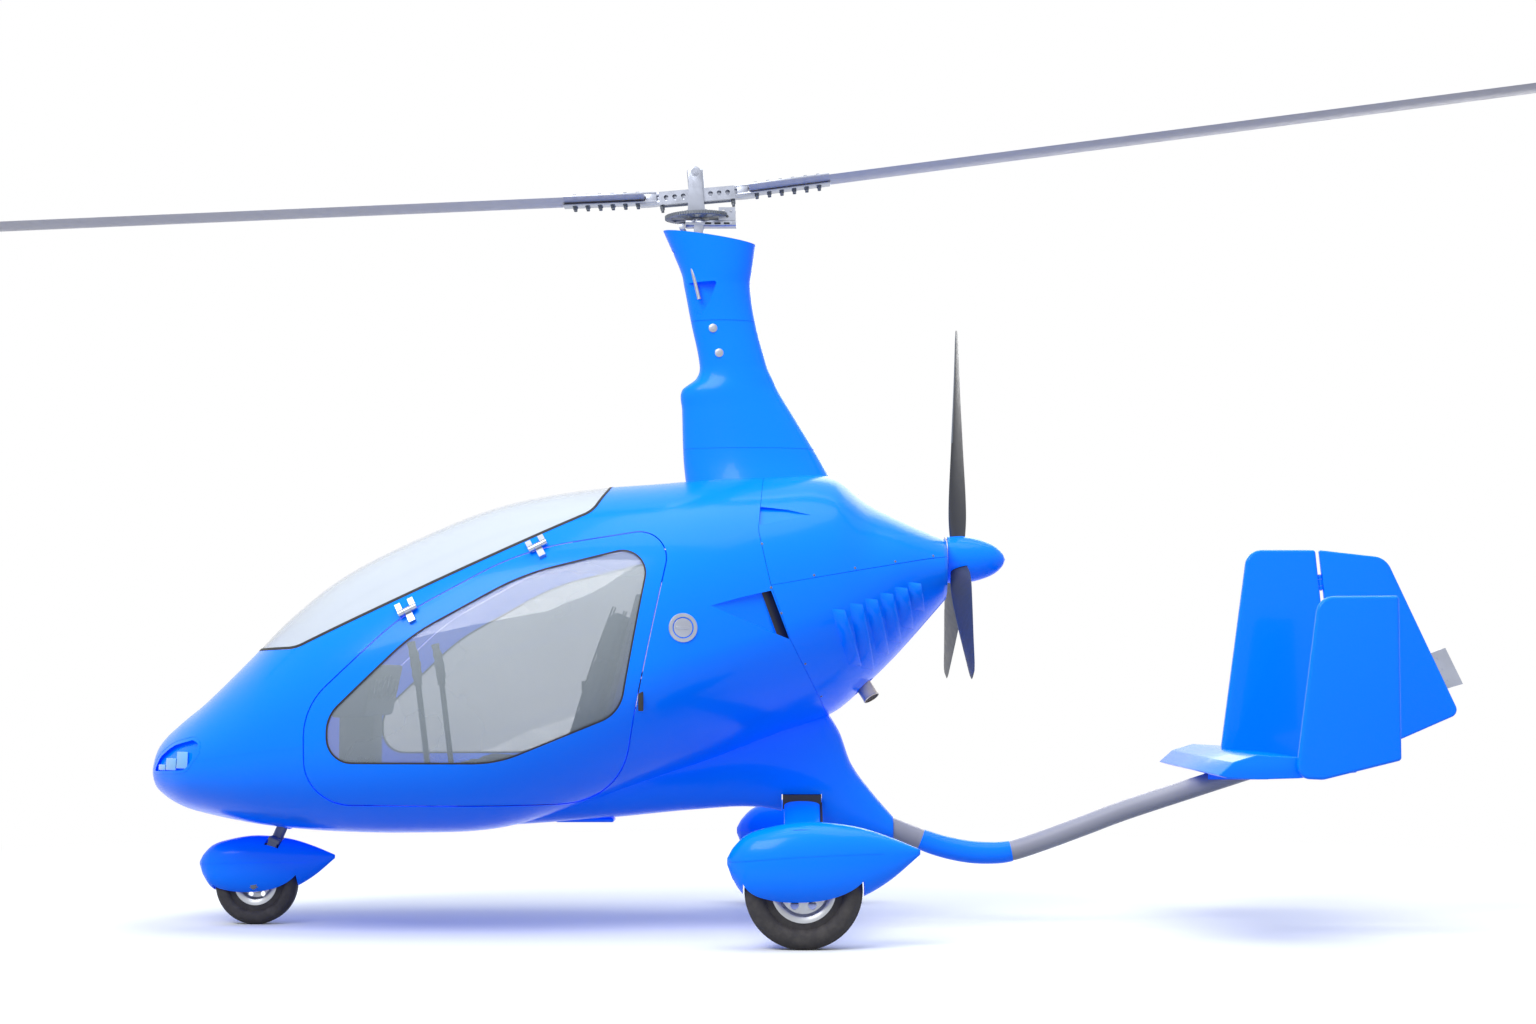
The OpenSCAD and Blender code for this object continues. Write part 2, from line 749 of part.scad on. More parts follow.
// Both fin knuckles of each hinge, with a gap round them
module fin_knuckles(r, gap = 0)
    for (h = RUDDER_HINGES, from = [h - rudder_knuckle / 2 - 1 - fin_knuckle, h + rudder_knuckle / 2 + 1])
        on_rudder_hinge(from - gap, fin_knuckle + 2 * gap, r + gap);

// The rudder's knuckle of each hinge, with a gap round it
module rudder_knuckles(r, gap = 0)
    for (h = RUDDER_HINGES) on_rudder_hinge(h - rudder_knuckle / 2 - gap, rudder_knuckle + 2 * gap, r + gap);

module centre_fin() color(paint) {
    difference() {
        side_prism(rounded([[1960, 600, 20], [1956, 650, 20], [2060, tail_top_z, 35],
            [hinge_line_y(tail_top_z) - rudder_gap, tail_top_z, 0],
            [hinge_line_y(tail_root_z) - rudder_gap, tail_root_z - 5, 0]]), -fin_t / 2, fin_t / 2);
        side_prism(TAILPLANE, -fin_t, fin_t);
        rudder_knuckles(rudder_knuckle_r, 5);
    }
    fin_knuckles(rudder_knuckle_r);
    for (h = RUDDER_HINGES)
        on_rudder_hinge(h - rudder_knuckle / 2 - fin_knuckle, rudder_knuckle + 2 * fin_knuckle, rudder_pin_r);
}

module outer_fin(side) color(paint)
    translate([side * outer_fin_x, 0, 0]) side_prism(rounded(OUTER_FIN), -fin_t / 2, fin_t / 2);

RUDDER_REAR = [[2570, 1345, 55], [2832, 770, 40]];

module rudder() color(paint) difference() {
    union() {
        difference() {
            side_prism(rounded([[hinge_line_y(tail_top_z) + rudder_gap, tail_top_z, 0],
                RUDDER_REAR[0], RUDDER_REAR[1], [2625, 680, 60],
                [hinge_line_y(tail_root_z) + rudder_gap, tail_root_z, 0]]), -fin_t / 2 + 2, fin_t / 2 - 2);
            fin_knuckles(rudder_knuckle_r, 5);
        }
        rudder_knuckles(rudder_knuckle_r);
    }
    on_rudder_hinge(0, norm(rudder_top - rudder_low), rudder_pin_r + run_fit);
}

// Y of the rudder's rear edge at a height, between its two rear corners
function rudder_edge_y(z) =
    let (a = RUDDER_REAR[0], b = RUDDER_REAR[1])
    a[0] + (a[1] - z) * (b[0] - a[0]) / (a[1] - b[1]);

module trim_tab() color(silver)
    side_prism([[rudder_edge_y(986), 986], [2786, 1012], [2849, 879], [rudder_edge_y(857), 857]], -1.5, 1.5);

// ---- Propeller ----

// Blade stations. Columns: fraction of the radius, chord, thickness, blade angle.
PROP = [[0.08, 62, 40, 62], [0.2, 92, 26, 48], [0.4, 108, 18, 32], [0.6, 100, 13, 24],
    [0.8, 80, 9, 18], [0.95, 56, 6, 15], [1.0, 36, 4, 14]];

module prop_blade()
    loft([for (f = stations(PROP, 1))
        let (r = row_at(PROP, f))
        [for (k = [0:15]) let (a = k * 22.5, u = r[1] / 2 * cos(a), v = r[2] / 2 * sin(a))
            [u * cos(r[3]) - v * sin(r[3]), -u * sin(r[3]) - v * cos(r[3]), prop_r * f]]]);

// Spinner profile. Columns: radius, distance behind its base.
SPINNER = [[0, 0], [86, 0], [88, 40], [84, 80], [72, 130], [52, 175], [24, 205], [0, 215]];
spinner_y = 950;

module spinner(grow = 1) translate([0, spinner_y, prop_z]) rotate([-90, 0, 0]) rotate_extrude()
    polygon([for (p = SPINNER) [p[0] * grow, p[1]]]);

module propeller_blades() color(dark) one_skin() difference() {
    for (k = [0:2]) translate([0, prop_y, prop_z]) rotate([0, 120 * k, 0]) prop_blade();
    spinner(hole_for(1));
}

module propeller_hub() color(paint) {
    bar([0, 790, prop_z], [0, spinner_y, prop_z], shaft_r);
    spinner();
}

// ---- Rotor head ----

teeter_pt = [0, hub_y, teeter_z];

// Moves a shape from the shaft's own frame (origin at the teeter bolt) to its lean
module on_shaft(extra = 0) translate(teeter_pt) rotate([shaft_lean + extra, 0, 0]) children();

// Lower cross block: rolls on the mast's pin and carries the pitch pin
module gimbal_block() color(silver) difference() {
    union() {
        block([-20, roll_pin_front + lug_t + 2, 2505], [20, roll_pin_rear - lug_t - 2, 2540]);
        block([-20, pitch_pin_y - 18, 2530], [20, pitch_pin_y + 18, 2572]);
        bar([-36, pitch_pin_y, pitch_pin_z], [36, pitch_pin_y, pitch_pin_z], head_pin_r);
    }
    bar([0, -100, roll_pin_z], [0, 200, roll_pin_z], head_pin_r + run_fit);
}

// Bearing block: pitches on the gimbal block's pin and carries the rotor shaft
module head_block() color(silver) difference() {
    union() {
        block([-38, -20, 2582], [38, 170, 2600]);
        for (s = [-1, 1]) block([s * 31 - 6, pitch_pin_y - 18, 2538], [s * 31 + 6, pitch_pin_y + 18, 2590]);
        on_shaft() translate([0, 0, -195]) cylinder(h = 20, r = 34);
    }
    bar([-100, pitch_pin_y, pitch_pin_z], [100, pitch_pin_y, pitch_pin_z], head_pin_r + run_fit);
    on_shaft() translate([0, 0, -230]) cylinder(h = 100, r = shaft_r + run_fit);
}

// Ring gear, shaft and the two cheeks that hold the teeter bolt
module rotor_tower() color(silver) on_shaft() {
    translate([0, 0, -168]) cylinder(h = 12, r = 120);
    translate([0, 0, -198]) cylinder(h = 40, r = shaft_r);
    for (s = [-1, 1]) block([s * 42 - 6, -24, -160], [s * 42 + 6, 24, 22]);
    translate([-48, 0, 0]) rotate([0, 90, 0]) cylinder(h = 96, r = teeter_pin_r);
}

module hub_bar() color(silver) on_shaft(park_teeter) difference() {
    union() {
        block([-30, -192, -97], [30, 192, -73]);
        block([-30, -30, -97], [30, 30, 18]);
        for (k = [-1, 1]) block([-30, k * 171 - 21, -105], [30, k * 171 + 21, -58]);
        for (k = [0, 1]) rotate([0, 0, 180 * k]) translate([0, 0, -85]) rotate([coning, 0, 0]) {
            for (z = [blade_t / 2, -blade_t / 2 - clamp_t]) block([-32, 150, z], [32, 500, z + clamp_t]);
        }
    }
    translate([-100, 0, 0]) rotate([0, 90, 0]) cylinder(h = 200, r = teeter_pin_r + run_fit);
}

// Blade section. Columns: fraction of the chord from the middle, fraction of half the thickness.
BLADE = [[-0.5, 0], [-0.47, 0.55], [-0.40, 0.86], [-0.30, 1.0], [-0.1, 0.98], [0.15, 0.72], [0.5, 0.06],
    [0.5, -0.06], [0.15, -0.72], [-0.1, -0.98], [-0.30, -1.0], [-0.40, -0.86], [-0.47, -0.55]];

module rotor_blades() color([0.8, 0.76, 0.8]) on_shaft(park_teeter)
    for (k = [0, 1]) rotate([0, 0, 180 * k]) translate([0, 0, -85]) rotate([coning, 0, 0])
        translate([0, blade_root, 0]) rotate([-90, 0, 0]) linear_extrude(rotor_r - blade_root)
            polygon([for (p = BLADE) [p[0] * blade_chord, p[1] * blade_t / 2]]);

// ---- Drawing ----

nose_shell();
belly_pan();
windscreen();
roof_panel();
side_panel(1);  // side_panel_left
side_panel(-1);  // side_panel_right
upper_cowl();
lower_cowl();
keel_fairing();
mast_fairing();
mast();
rear_bulkhead();
cabin_floor();
engine();
exhaust_pipe();
fuel_cap();
nose_lights();
seat(1);  // seat_left
seat(-1);  // seat_right
instrument_panel();
control_stick(1);  // control_stick_left
control_stick(-1);  // control_stick_right
rudder_pedals();
door(1);  // door_left
door(-1);  // door_right
door_window(1);  // door_window_left
door_window(-1);  // door_window_right
door_hinge(1);  // door_hinge_left
door_hinge(-1);  // door_hinge_right
door_strap(1);  // door_strap_left
door_strap(-1);  // door_strap_right
main_gear_bow();
main_spat(1);  // main_spat_left
main_spat(-1);  // main_spat_right
main_tyre(1);  // main_tyre_left
main_tyre(-1);  // main_tyre_right
main_rim(1);  // main_rim_left
main_rim(-1);  // main_rim_right
nose_leg_housing();
nose_fork();
nose_spat();
nose_tyre();
nose_rim();
keel_tube();
tailplane();
centre_fin();
outer_fin(1);  // outer_fin_left
outer_fin(-1);  // outer_fin_right
rudder();
trim_tab();
propeller_hub();
propeller_blades();
gimbal_block();
head_block();
rotor_tower();
hub_bar();
rotor_blades();
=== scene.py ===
# %% [markdown]
# # A parked two-seat gyrocopter
# The real machine is a composite egg with two seats side by side, a faired mast that carries a free-turning
# rotor, a propeller that pushes from behind, and a low tail boom with three fins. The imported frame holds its
# sizes and its joints. This script gives it its looks, one piece at a time, in metres: nose towards -Y,
# left side towards +X.

# %% Load the frame
import math

import bmesh
import bpy
from mathutils import Matrix, Vector
from mathutils.bvhtree import BVHTree


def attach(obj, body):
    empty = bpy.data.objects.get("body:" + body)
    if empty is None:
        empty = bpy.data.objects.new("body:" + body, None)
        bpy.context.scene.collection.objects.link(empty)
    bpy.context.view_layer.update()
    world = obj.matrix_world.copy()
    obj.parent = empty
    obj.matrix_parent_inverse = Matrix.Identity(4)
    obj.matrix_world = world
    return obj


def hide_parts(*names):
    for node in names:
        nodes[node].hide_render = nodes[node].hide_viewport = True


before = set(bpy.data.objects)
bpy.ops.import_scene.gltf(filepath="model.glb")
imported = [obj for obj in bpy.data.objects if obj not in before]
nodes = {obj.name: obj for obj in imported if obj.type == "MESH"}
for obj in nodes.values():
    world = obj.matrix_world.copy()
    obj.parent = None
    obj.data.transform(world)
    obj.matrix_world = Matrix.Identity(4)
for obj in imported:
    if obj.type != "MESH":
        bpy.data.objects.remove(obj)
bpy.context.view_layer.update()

scene = bpy.context.scene

# %% [markdown]
# ## The camera
# The machine is seen square from its left side, from about nine metres, a little below cabin height. A long
# lens keeps the cabin's outline close to a drawing. The camera tips up slightly so that the rotor fits.

# %% Camera
camera_data = bpy.data.cameras.new("camera")
camera_data.lens = 58.9
camera_data.sensor_width = 36.0
camera = bpy.data.objects.new("camera", camera_data)
scene.collection.objects.link(camera)
camera.location = (9.3, 0.351, 0.912)
camera_tip = math.radians(3.71)
camera_turn = math.radians(-0.39)
camera.rotation_euler = (math.radians(90) + camera_tip, 0, math.radians(90) - camera_turn)
scene.camera = camera
print("camera", tuple(round(c, 2) for c in camera.location))

# %% [markdown]
# ## The stage
# A pale floor and a white surround. Camera, mirror and glass rays see white, and every other ray sees a
# dimmer world, so that the light on the object stays plain and its underside stays dark enough to read.
# The floor looks white but bounces only a grey light, as a real apron does.

# %% Floor and world
def new_material(name):
    """An empty node material with its output."""
    material = bpy.data.materials.new(name)
    material.use_nodes = True
    material.node_tree.nodes.clear()
    material.node_tree.nodes.new("ShaderNodeOutputMaterial").name = "out"
    return material


def seen_directly(tree):
    """A factor that is 1 for camera, mirror and glass rays."""
    path = tree.nodes.new("ShaderNodeLightPath")
    total = path.outputs["Is Camera Ray"]
    for ray in ("Is Glossy Ray", "Is Transmission Ray"):
        add = tree.nodes.new("ShaderNodeMath")
        add.operation = "ADD"
        add.use_clamp = True
        tree.links.new(total, add.inputs[0])
        tree.links.new(path.outputs[ray], add.inputs[1])
        total = add.outputs[0]
    return total


floor_material = new_material("studio_floor")
tree = floor_material.node_tree
floor_near = tree.nodes.new("ShaderNodeBsdfDiffuse")
floor_near.inputs["Color"].default_value = (0.93, 0.94, 0.95, 1)
floor_bounce = tree.nodes.new("ShaderNodeBsdfDiffuse")
floor_bounce.inputs["Color"].default_value = (0.26, 0.28, 0.31, 1)
floor_white = tree.nodes.new("ShaderNodeEmission")
floor_place = tree.nodes.new("ShaderNodeTexCoord").outputs["Object"]
reach = tree.nodes.new("ShaderNodeVectorMath")
reach.operation = "LENGTH"
tree.links.new(floor_place, reach.inputs[0])
fade = tree.nodes.new("ShaderNodeMapRange")
fade.inputs["From Min"].default_value = 2.2
fade.inputs["From Max"].default_value = 5.5
tree.links.new(reach.outputs["Value"], fade.inputs["Value"])
shown = tree.nodes.new("ShaderNodeMixShader")
tree.links.new(fade.outputs[0], shown.inputs[0])
tree.links.new(floor_near.outputs[0], shown.inputs[1])
tree.links.new(floor_white.outputs[0], shown.inputs[2])
mix = tree.nodes.new("ShaderNodeMixShader")
tree.links.new(seen_directly(tree), mix.inputs[0])
tree.links.new(floor_bounce.outputs[0], mix.inputs[1])
tree.links.new(shown.outputs[0], mix.inputs[2])
tree.links.new(mix.outputs[0], tree.nodes["out"].inputs["Surface"])

bm = bmesh.new()
bmesh.ops.create_circle(bm, cap_ends=True, segments=96, radius=60)
floor_mesh = bpy.data.meshes.new("studio_floor")
bm.to_mesh(floor_mesh)
bm.free()
floor_mesh.materials.append(floor_material)
floor = bpy.data.objects.new("studio_floor", floor_mesh)
scene.collection.objects.link(floor)

world = bpy.data.worlds.new("studio")
scene.world = world
world.use_nodes = True
tree = world.node_tree
tree.nodes.clear()
surround = tree.nodes.new("ShaderNodeBackground")
surround.inputs["Color"].default_value = (1, 1, 1, 1)
ambient = tree.nodes.new("ShaderNodeBackground")
ambient.inputs["Color"].default_value = (0.86, 0.92, 1.0, 1)
ambient.inputs["Strength"].default_value = 0.62
mix = tree.nodes.new("ShaderNodeMixShader")
world_out = tree.nodes.new("ShaderNodeOutputWorld")
tree.links.new(seen_directly(tree), mix.inputs[0])
tree.links.new(ambient.outputs[0], mix.inputs[1])
tree.links.new(surround.outputs[0], mix.inputs[2])
tree.links.new(mix.outputs[0], world_out.inputs["Surface"])
print("stage ready")

# %% Lamps
def area_lamp(name, place, target, size, power, color=(1, 1, 1)):
    """A soft square lamp that faces a point."""
    data = bpy.data.lights.new(name, "AREA")
    data.shape = "SQUARE"
    data.size = size
    data.energy = power
    data.color = color
    lamp = bpy.data.objects.new(name, data)
    lamp.location = place
    aim = Vector(target) - Vector(place)
    lamp.rotation_euler = aim.to_track_quat("-Z", "Y").to_euler()
    scene.collection.objects.link(lamp)


area_lamp("key_lamp", (6.0, -3.5, 7.5), (0, 0, 1.1), 5.0, 620)
area_lamp("sky_lamp", (0.5, 1.5, 9.0), (0, 0, 1.0), 7.0, 420, (0.92, 0.96, 1.0))
area_lamp("far_side_lamp", (-7.0, 3.0, 5.0), (0, 0, 1.0), 5.0, 200)
scene.view_settings.view_transform = "Standard"
print("lamps", len(bpy.data.lights))

# %% [markdown]
# ## Shared surface effects
# Clean aircraft paint still shows a faint ripple, and dust gathers low down. Both are shader node groups with
# named sockets, so each material places them with its own values. They only give colours, values and normals;
# the shader stays in the material.

# %% Shader node groups
def node_group(name, inputs, outputs):
    """A shader node group with named sockets: inputs are (name, type, default), outputs (name, type)."""
    group = bpy.data.node_groups.new(name, "ShaderNodeTree")
    for label, kind, default in inputs:
        socket = group.interface.new_socket(label, in_out="INPUT", socket_type=kind)
        socket.default_value = default
    for label, kind in outputs:
        group.interface.new_socket(label, in_out="OUTPUT", socket_type=kind)
    return group, group.nodes.new("NodeGroupInput"), group.nodes.new("NodeGroupOutput")


def noise(tree, vector, scale, detail=3.0):
    """A noise texture on a vector socket."""
    texture = tree.nodes.new("ShaderNodeTexNoise")
    texture.inputs["Detail"].default_value = detail
    tree.links.new(vector, texture.inputs["Vector"])
    if isinstance(scale, (int, float)):
        texture.inputs["Scale"].default_value = scale
    else:
        tree.links.new(scale, texture.inputs["Scale"])
    return texture.outputs["Fac"]


def remap(tree, value, low, high, out_low, out_high):
    """A value moved from one range to another, clamped."""
    node = tree.nodes.new("ShaderNodeMapRange")
    tree.links.new(value, node.inputs["Value"])
    for label, number in (("From Min", low), ("From Max", high), ("To Min", out_low), ("To Max", out_high)):
        if isinstance(number, (int, float)):
            node.inputs[label].default_value = number
        else:
            tree.links.new(number, node.inputs[label])
    return node.outputs[0]


def mixed_color(tree, factor, a, b):
    """Two colours mixed by a factor socket. A colour is a socket or a tuple."""
    node = tree.nodes.new("ShaderNodeMix")
    node.data_type = "RGBA"
    tree.links.new(factor, node.inputs["Factor"])
    for socket, color in ((node.inputs[6], a), (node.inputs[7], b)):
        if isinstance(color, tuple):
            socket.default_value = (*color, 1)
        else:
            tree.links.new(color, socket)
    return node.outputs[2]


def bumped(tree, height, strength, distance):
    """A normal from a height."""
    node = tree.nodes.new("ShaderNodeBump")
    node.inputs["Distance"].default_value = distance
    if isinstance(strength, (int, float)):
        node.inputs["Strength"].default_value = strength
    else:
        tree.links.new(strength, node.inputs["Strength"])
    tree.links.new(height, node.inputs["Height"])
    return node.outputs[0]


def build_tone_group():
    """Slow changes of tone and roughness over a surface, with dust towards the ground."""
    group, ins, outs = node_group("tone_and_dust", [
        ("Vector", "NodeSocketVector", (0, 0, 0)), ("Color", "NodeSocketColor", (0.5, 0.5, 0.5, 1)),
        ("Tone Scale", "NodeSocketFloat", 2.0), ("Tone", "NodeSocketFloat", 0.06),
        ("Dust", "NodeSocketFloat", 0.1), ("Rough Low", "NodeSocketFloat", 0.2),
        ("Rough High", "NodeSocketFloat", 0.3)],
        [("Color", "NodeSocketColor"), ("Roughness", "NodeSocketFloat")])
    slow = noise(group, ins.outputs["Vector"], ins.outputs["Tone Scale"], 4.0)
    fine = noise(group, ins.outputs["Vector"], 34.0, 5.0)
    dim = group.nodes.new("ShaderNodeHueSaturation")
    group.links.new(ins.outputs["Color"], dim.inputs["Color"])
    down = group.nodes.new("ShaderNodeMath")
    down.operation = "MULTIPLY_ADD"
    group.links.new(ins.outputs["Tone"], down.inputs[0])
    down.inputs[1].default_value = -1.0
    down.inputs[2].default_value = 1.0
    group.links.new(down.outputs[0], dim.inputs["Value"])
    spread = remap(group, slow, 0.35, 0.65, 0.0, 1.0)
    toned = mixed_color(group, spread, ins.outputs["Color"], dim.outputs["Color"])
    split = group.nodes.new("ShaderNodeSeparateXYZ")
    group.links.new(ins.outputs["Vector"], split.inputs[0])
    low = remap(group, split.outputs["Z"], 0.0, 0.6, 1.0, 0.0)
    patch = remap(group, fine, 0.42, 0.75, 0.0, 1.0)
    both = group.nodes.new("ShaderNodeMath")
    both.operation = "MULTIPLY"
    group.links.new(low, both.inputs[0])
    group.links.new(patch, both.inputs[1])
    amount = group.nodes.new("ShaderNodeMath")
    amount.operation = "MULTIPLY"
    group.links.new(both.outputs[0], amount.inputs[0])
    group.links.new(ins.outputs["Dust"], amount.inputs[1])
    dusty = mixed_color(group, amount.outputs[0], toned, (0.42, 0.38, 0.33))
    group.links.new(dusty, outs.inputs["Color"])
    rough = remap(group, fine, 0.3, 0.7, ins.outputs["Rough Low"], ins.outputs["Rough High"])
    group.links.new(rough, outs.inputs["Roughness"])
    return group


def build_grain_group():
    """A fine bump: noise grain at one scale and a slower ripple at another."""
    group, ins, outs = node_group("grain", [
        ("Vector", "NodeSocketVector", (0, 0, 0)), ("Scale", "NodeSocketFloat", 300.0),
        ("Ripple", "NodeSocketFloat", 8.0), ("Strength", "NodeSocketFloat", 0.1)],
        [("Height", "NodeSocketFloat"), ("Normal", "NodeSocketVector")])
    fine = noise(group, ins.outputs["Vector"], ins.outputs["Scale"], 2.0)
    slow = noise(group, ins.outputs["Vector"], ins.outputs["Ripple"], 2.0)
    total = group.nodes.new("ShaderNodeMath")
    total.operation = "MULTIPLY_ADD"
    group.links.new(fine, total.inputs[0])
    total.inputs[1].default_value = 0.35
    group.links.new(slow, total.inputs[2])
    group.links.new(total.outputs[0], outs.inputs["Height"])
    normal = bumped(group, total.outputs[0], ins.outputs["Strength"], 0.002)
    group.links.new(normal, outs.inputs["Normal"])
    return group


tone_group = build_tone_group()
grain_group = build_grain_group()
print("groups", tone_group.name, grain_group.name)

# %% Surface recipe
def surface(name, color, rough=(0.3, 0.4), tone=0.06, tone_scale=2.0, dust=0.1, grain=300.0, ripple=8.0,
            strength=0.1, **plain):
    """A Principled material with the shared tone and grain. plain sets its own sockets by name."""
    material = new_material(name)
    tree = material.node_tree
    shader = tree.nodes.new("ShaderNodeBsdfPrincipled")
    place = tree.nodes.new("ShaderNodeTexCoord").outputs["Object"]
    skin = tree.nodes.new("ShaderNodeGroup")
    skin.node_tree = tone_group
    skin.inputs["Color"].default_value = (*color, 1)
    skin.inputs["Tone"].default_value = tone
    skin.inputs["Tone Scale"].default_value = tone_scale
    skin.inputs["Dust"].default_value = dust
    skin.inputs["Rough Low"].default_value = rough[0]
    skin.inputs["Rough High"].default_value = rough[1]
    tree.links.new(place, skin.inputs["Vector"])
    tree.links.new(skin.outputs["Color"], shader.inputs["Base Color"])
    tree.links.new(skin.outputs["Roughness"], shader.inputs["Roughness"])
    relief = tree.nodes.new("ShaderNodeGroup")
    relief.node_tree = grain_group
    relief.inputs["Scale"].default_value = grain
    relief.inputs["Ripple"].default_value = ripple
    relief.inputs["Strength"].default_value = strength
    tree.links.new(place, relief.inputs["Vector"])
    tree.links.new(relief.outputs["Normal"], shader.inputs["Normal"])
    for label, value in plain.items():
        shader.inputs[label.replace("_", " ")].default_value = value
    tree.links.new(shader.outputs[0], tree.nodes["out"].inputs["Surface"])
    shader.name = "shader"
    return material


def glass(name, color, rough=0.02, alpha=0.3):
    """Thin clear acrylic: mostly see-through, with a Fresnel gloss and a faint tint."""
    material = new_material(name)
    tree = material.node_tree
    shader = tree.nodes.new("ShaderNodeBsdfPrincipled")
    shader.inputs["Base Color"].default_value = (*color, 1)
    shader.inputs["Roughness"].default_value = rough
    shader.inputs["IOR"].default_value = 1.45
    shader.inputs["Coat Weight"].default_value = 0.5
    shader.inputs["Coat Roughness"].default_value = 0.02
    place = tree.nodes.new("ShaderNodeTexCoord").outputs["Object"]
    haze = noise(tree, place, 1.6, 4.0)
    edge = tree.nodes.new("ShaderNodeLayerWeight")
    edge.inputs["Blend"].default_value = 0.35
    clear = remap(tree, haze, 0.3, 0.7, alpha * 0.9, alpha * 1.1)
    add = tree.nodes.new("ShaderNodeMath")
    add.operation = "MULTIPLY_ADD"
    add.use_clamp = True
    tree.links.new(edge.outputs["Fresnel"], add.inputs[0])
    add.inputs[1].default_value = 0.55
    tree.links.new(clear, add.inputs[2])
    tree.links.new(add.outputs[0], shader.inputs["Alpha"])
    tree.links.new(shader.outputs[0], tree.nodes["out"].inputs["Surface"])
    return material


# The blue paint also has a weak blue emission: painted light, a glow that keeps its shaded side a deep, bright blue.
blue_paint = surface("blue_paint", (0.0, 0.245, 1.0), rough=(0.20, 0.26), tone=0.03, tone_scale=1.2,
                     dust=0.0, grain=420, ripple=3.0, strength=0.006, Specular_IOR_Level=0.12, Coat_Weight=0.10,
                     Coat_Roughness=0.03, Emission_Color=(0.0, 0.025, 0.60, 1.0), Emission_Strength=0.5)
window_glass = glass("window_glass", (0.55, 0.62, 0.66), alpha=0.34)
windscreen_glass = glass("windscreen_glass", (0.80, 0.86, 0.90), alpha=0.10)
black_rubber = surface("black_rubber", (0.012, 0.012, 0.013), rough=(0.55, 0.7), grain=700, strength=0.2)
matt_black = surface("matt_black", (0.018, 0.018, 0.020), rough=(0.5, 0.62), grain=900, strength=0.25)
cabin_trim = surface("cabin_trim", (0.055, 0.056, 0.060), rough=(0.7, 0.85), grain=520, strength=0.5)
dark_composite = surface("dark_composite", (0.045, 0.046, 0.052), rough=(0.34, 0.44), grain=260, strength=0.1)
bare_metal = surface("bare_metal", (0.43, 0.46, 0.55), rough=(0.28, 0.42), tone=0.14, tone_scale=9.0,
                     grain=650, strength=0.12, Metallic=1.0)
grey_metal = surface("grey_metal", (0.20, 0.215, 0.24), rough=(0.35, 0.5), tone=0.12, tone_scale=6.0,
                     grain=300, strength=0.1)
blade_metal = surface("blade_metal", (0.60, 0.56, 0.60), rough=(0.34, 0.46), tone=0.05, tone_scale=1.0,
                      grain=200, strength=0.05)
tube_grey = surface("tube_grey", (0.36, 0.36, 0.42), rough=(0.32, 0.44), tone=0.08, tone_scale=4.0,
                    grain=300, strength=0.08)
exhaust_steel = surface("exhaust_steel", (0.62, 0.56, 0.52), rough=(0.3, 0.5), tone=0.25, tone_scale=14.0,
                        grain=400, strength=0.2, Metallic=0.75)
tyre_rubber = surface("tyre_rubber", (0.040, 0.036, 0.038), rough=(0.72, 0.84), tone=0.08, tone_scale=4.0,
                      dust=0.12, grain=500, strength=0.3)
wheel_alloy = surface("wheel_alloy", (0.50, 0.52, 0.55), rough=(0.3, 0.45), tone=0.1, tone_scale=8.0,
                      dust=0.3, grain=300, strength=0.1, Metallic=0.9)
print("materials", len(bpy.data.materials))

# %% [markdown]
# ## Helpers for shapes
# Most of this machine is lofted: a section changes smoothly along a line. A flat grid from
# `bmesh.ops.create_grid` is wrapped into that shape by placing each of its points, and its two long edges are
# merged. The same small table of sections as the frame's drives it, with a smooth curve between rows.

# %% Table and loft helpers
MM = 0.001


def slope(table, i, c):
    """Slope of one column at a row, from its neighbours."""
    a, b = max(i - 1, 0), min(i + 1, len(table) - 1)
    return (table[b][c] - table[a][c]) / (table[b][0] - table[a][0])


def row_at(table, s):
    """A row of a table at any station, on a smooth curve through its rows."""
    i = 0
    while i < len(table) - 2 and s >= table[i + 1][0]:
        i += 1
    h = table[i + 1][0] - table[i][0]
    u = min(max((s - table[i][0]) / h, 0.0), 1.0)
    row = [s]
    for c in range(1, len(table[0])):
        a, b, ma, mb = table[i][c], table[i + 1][c], slope(table, i, c), slope(table, i + 1, c)
        row.append((2 * u**3 - 3 * u**2 + 1) * a + (u**3 - 2 * u**2 + u) * h * ma
                   + (3 * u**2 - 2 * u**3) * b + (u**3 - u**2) * h * mb)
    return row


def station(table, v):
    """The station at a fraction v of the table's rows."""
    s = v * (len(table) - 1)
    i = min(int(s), len(table) - 2)
    return table[i][0] + (table[i + 1][0] - table[i][0]) * (s - i)


def signed_pow(value, power):
    return math.copysign(abs(value) ** power, value)


def wrapped(around, along, place, caps=True):
    """A closed grid: place(u, v) gives the point at u round the section and v along the shape."""
    bm = bmesh.new()
    bmesh.ops.create_grid(bm, x_segments=around, y_segments=along, size=0.5)
    for vert in bm.verts:
        vert.co = place(vert.co.x + 0.5, vert.co.y + 0.5)
    bmesh.ops.remove_doubles(bm, verts=bm.verts, dist=1e-6)
    if caps:
        bmesh.ops.holes_fill(bm, edges=[e for e in bm.edges if e.is_boundary], sides=0)
    bmesh.ops.recalc_face_normals(bm, faces=bm.faces)
    return bm


def piece(name, bm, material, body, replaces=(), sharp=35.0):
    """Makes an object from a bmesh, with its finish, its body and the nodes that it stands for."""
    mesh = bpy.data.meshes.new(name)
    bm.to_mesh(mesh)
    bm.free()
    mesh.polygons.foreach_set("use_smooth", [True] * len(mesh.polygons))
    mesh.set_sharp_from_angle(angle=math.radians(sharp))
    for entry in material if isinstance(material, list) else [material]:
        mesh.materials.append(entry)
    made = bpy.data.objects.new(name, mesh)
    scene.collection.objects.link(made)
    if body:
        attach(made, body)
    if replaces:
        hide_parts(*replaces)
    return made


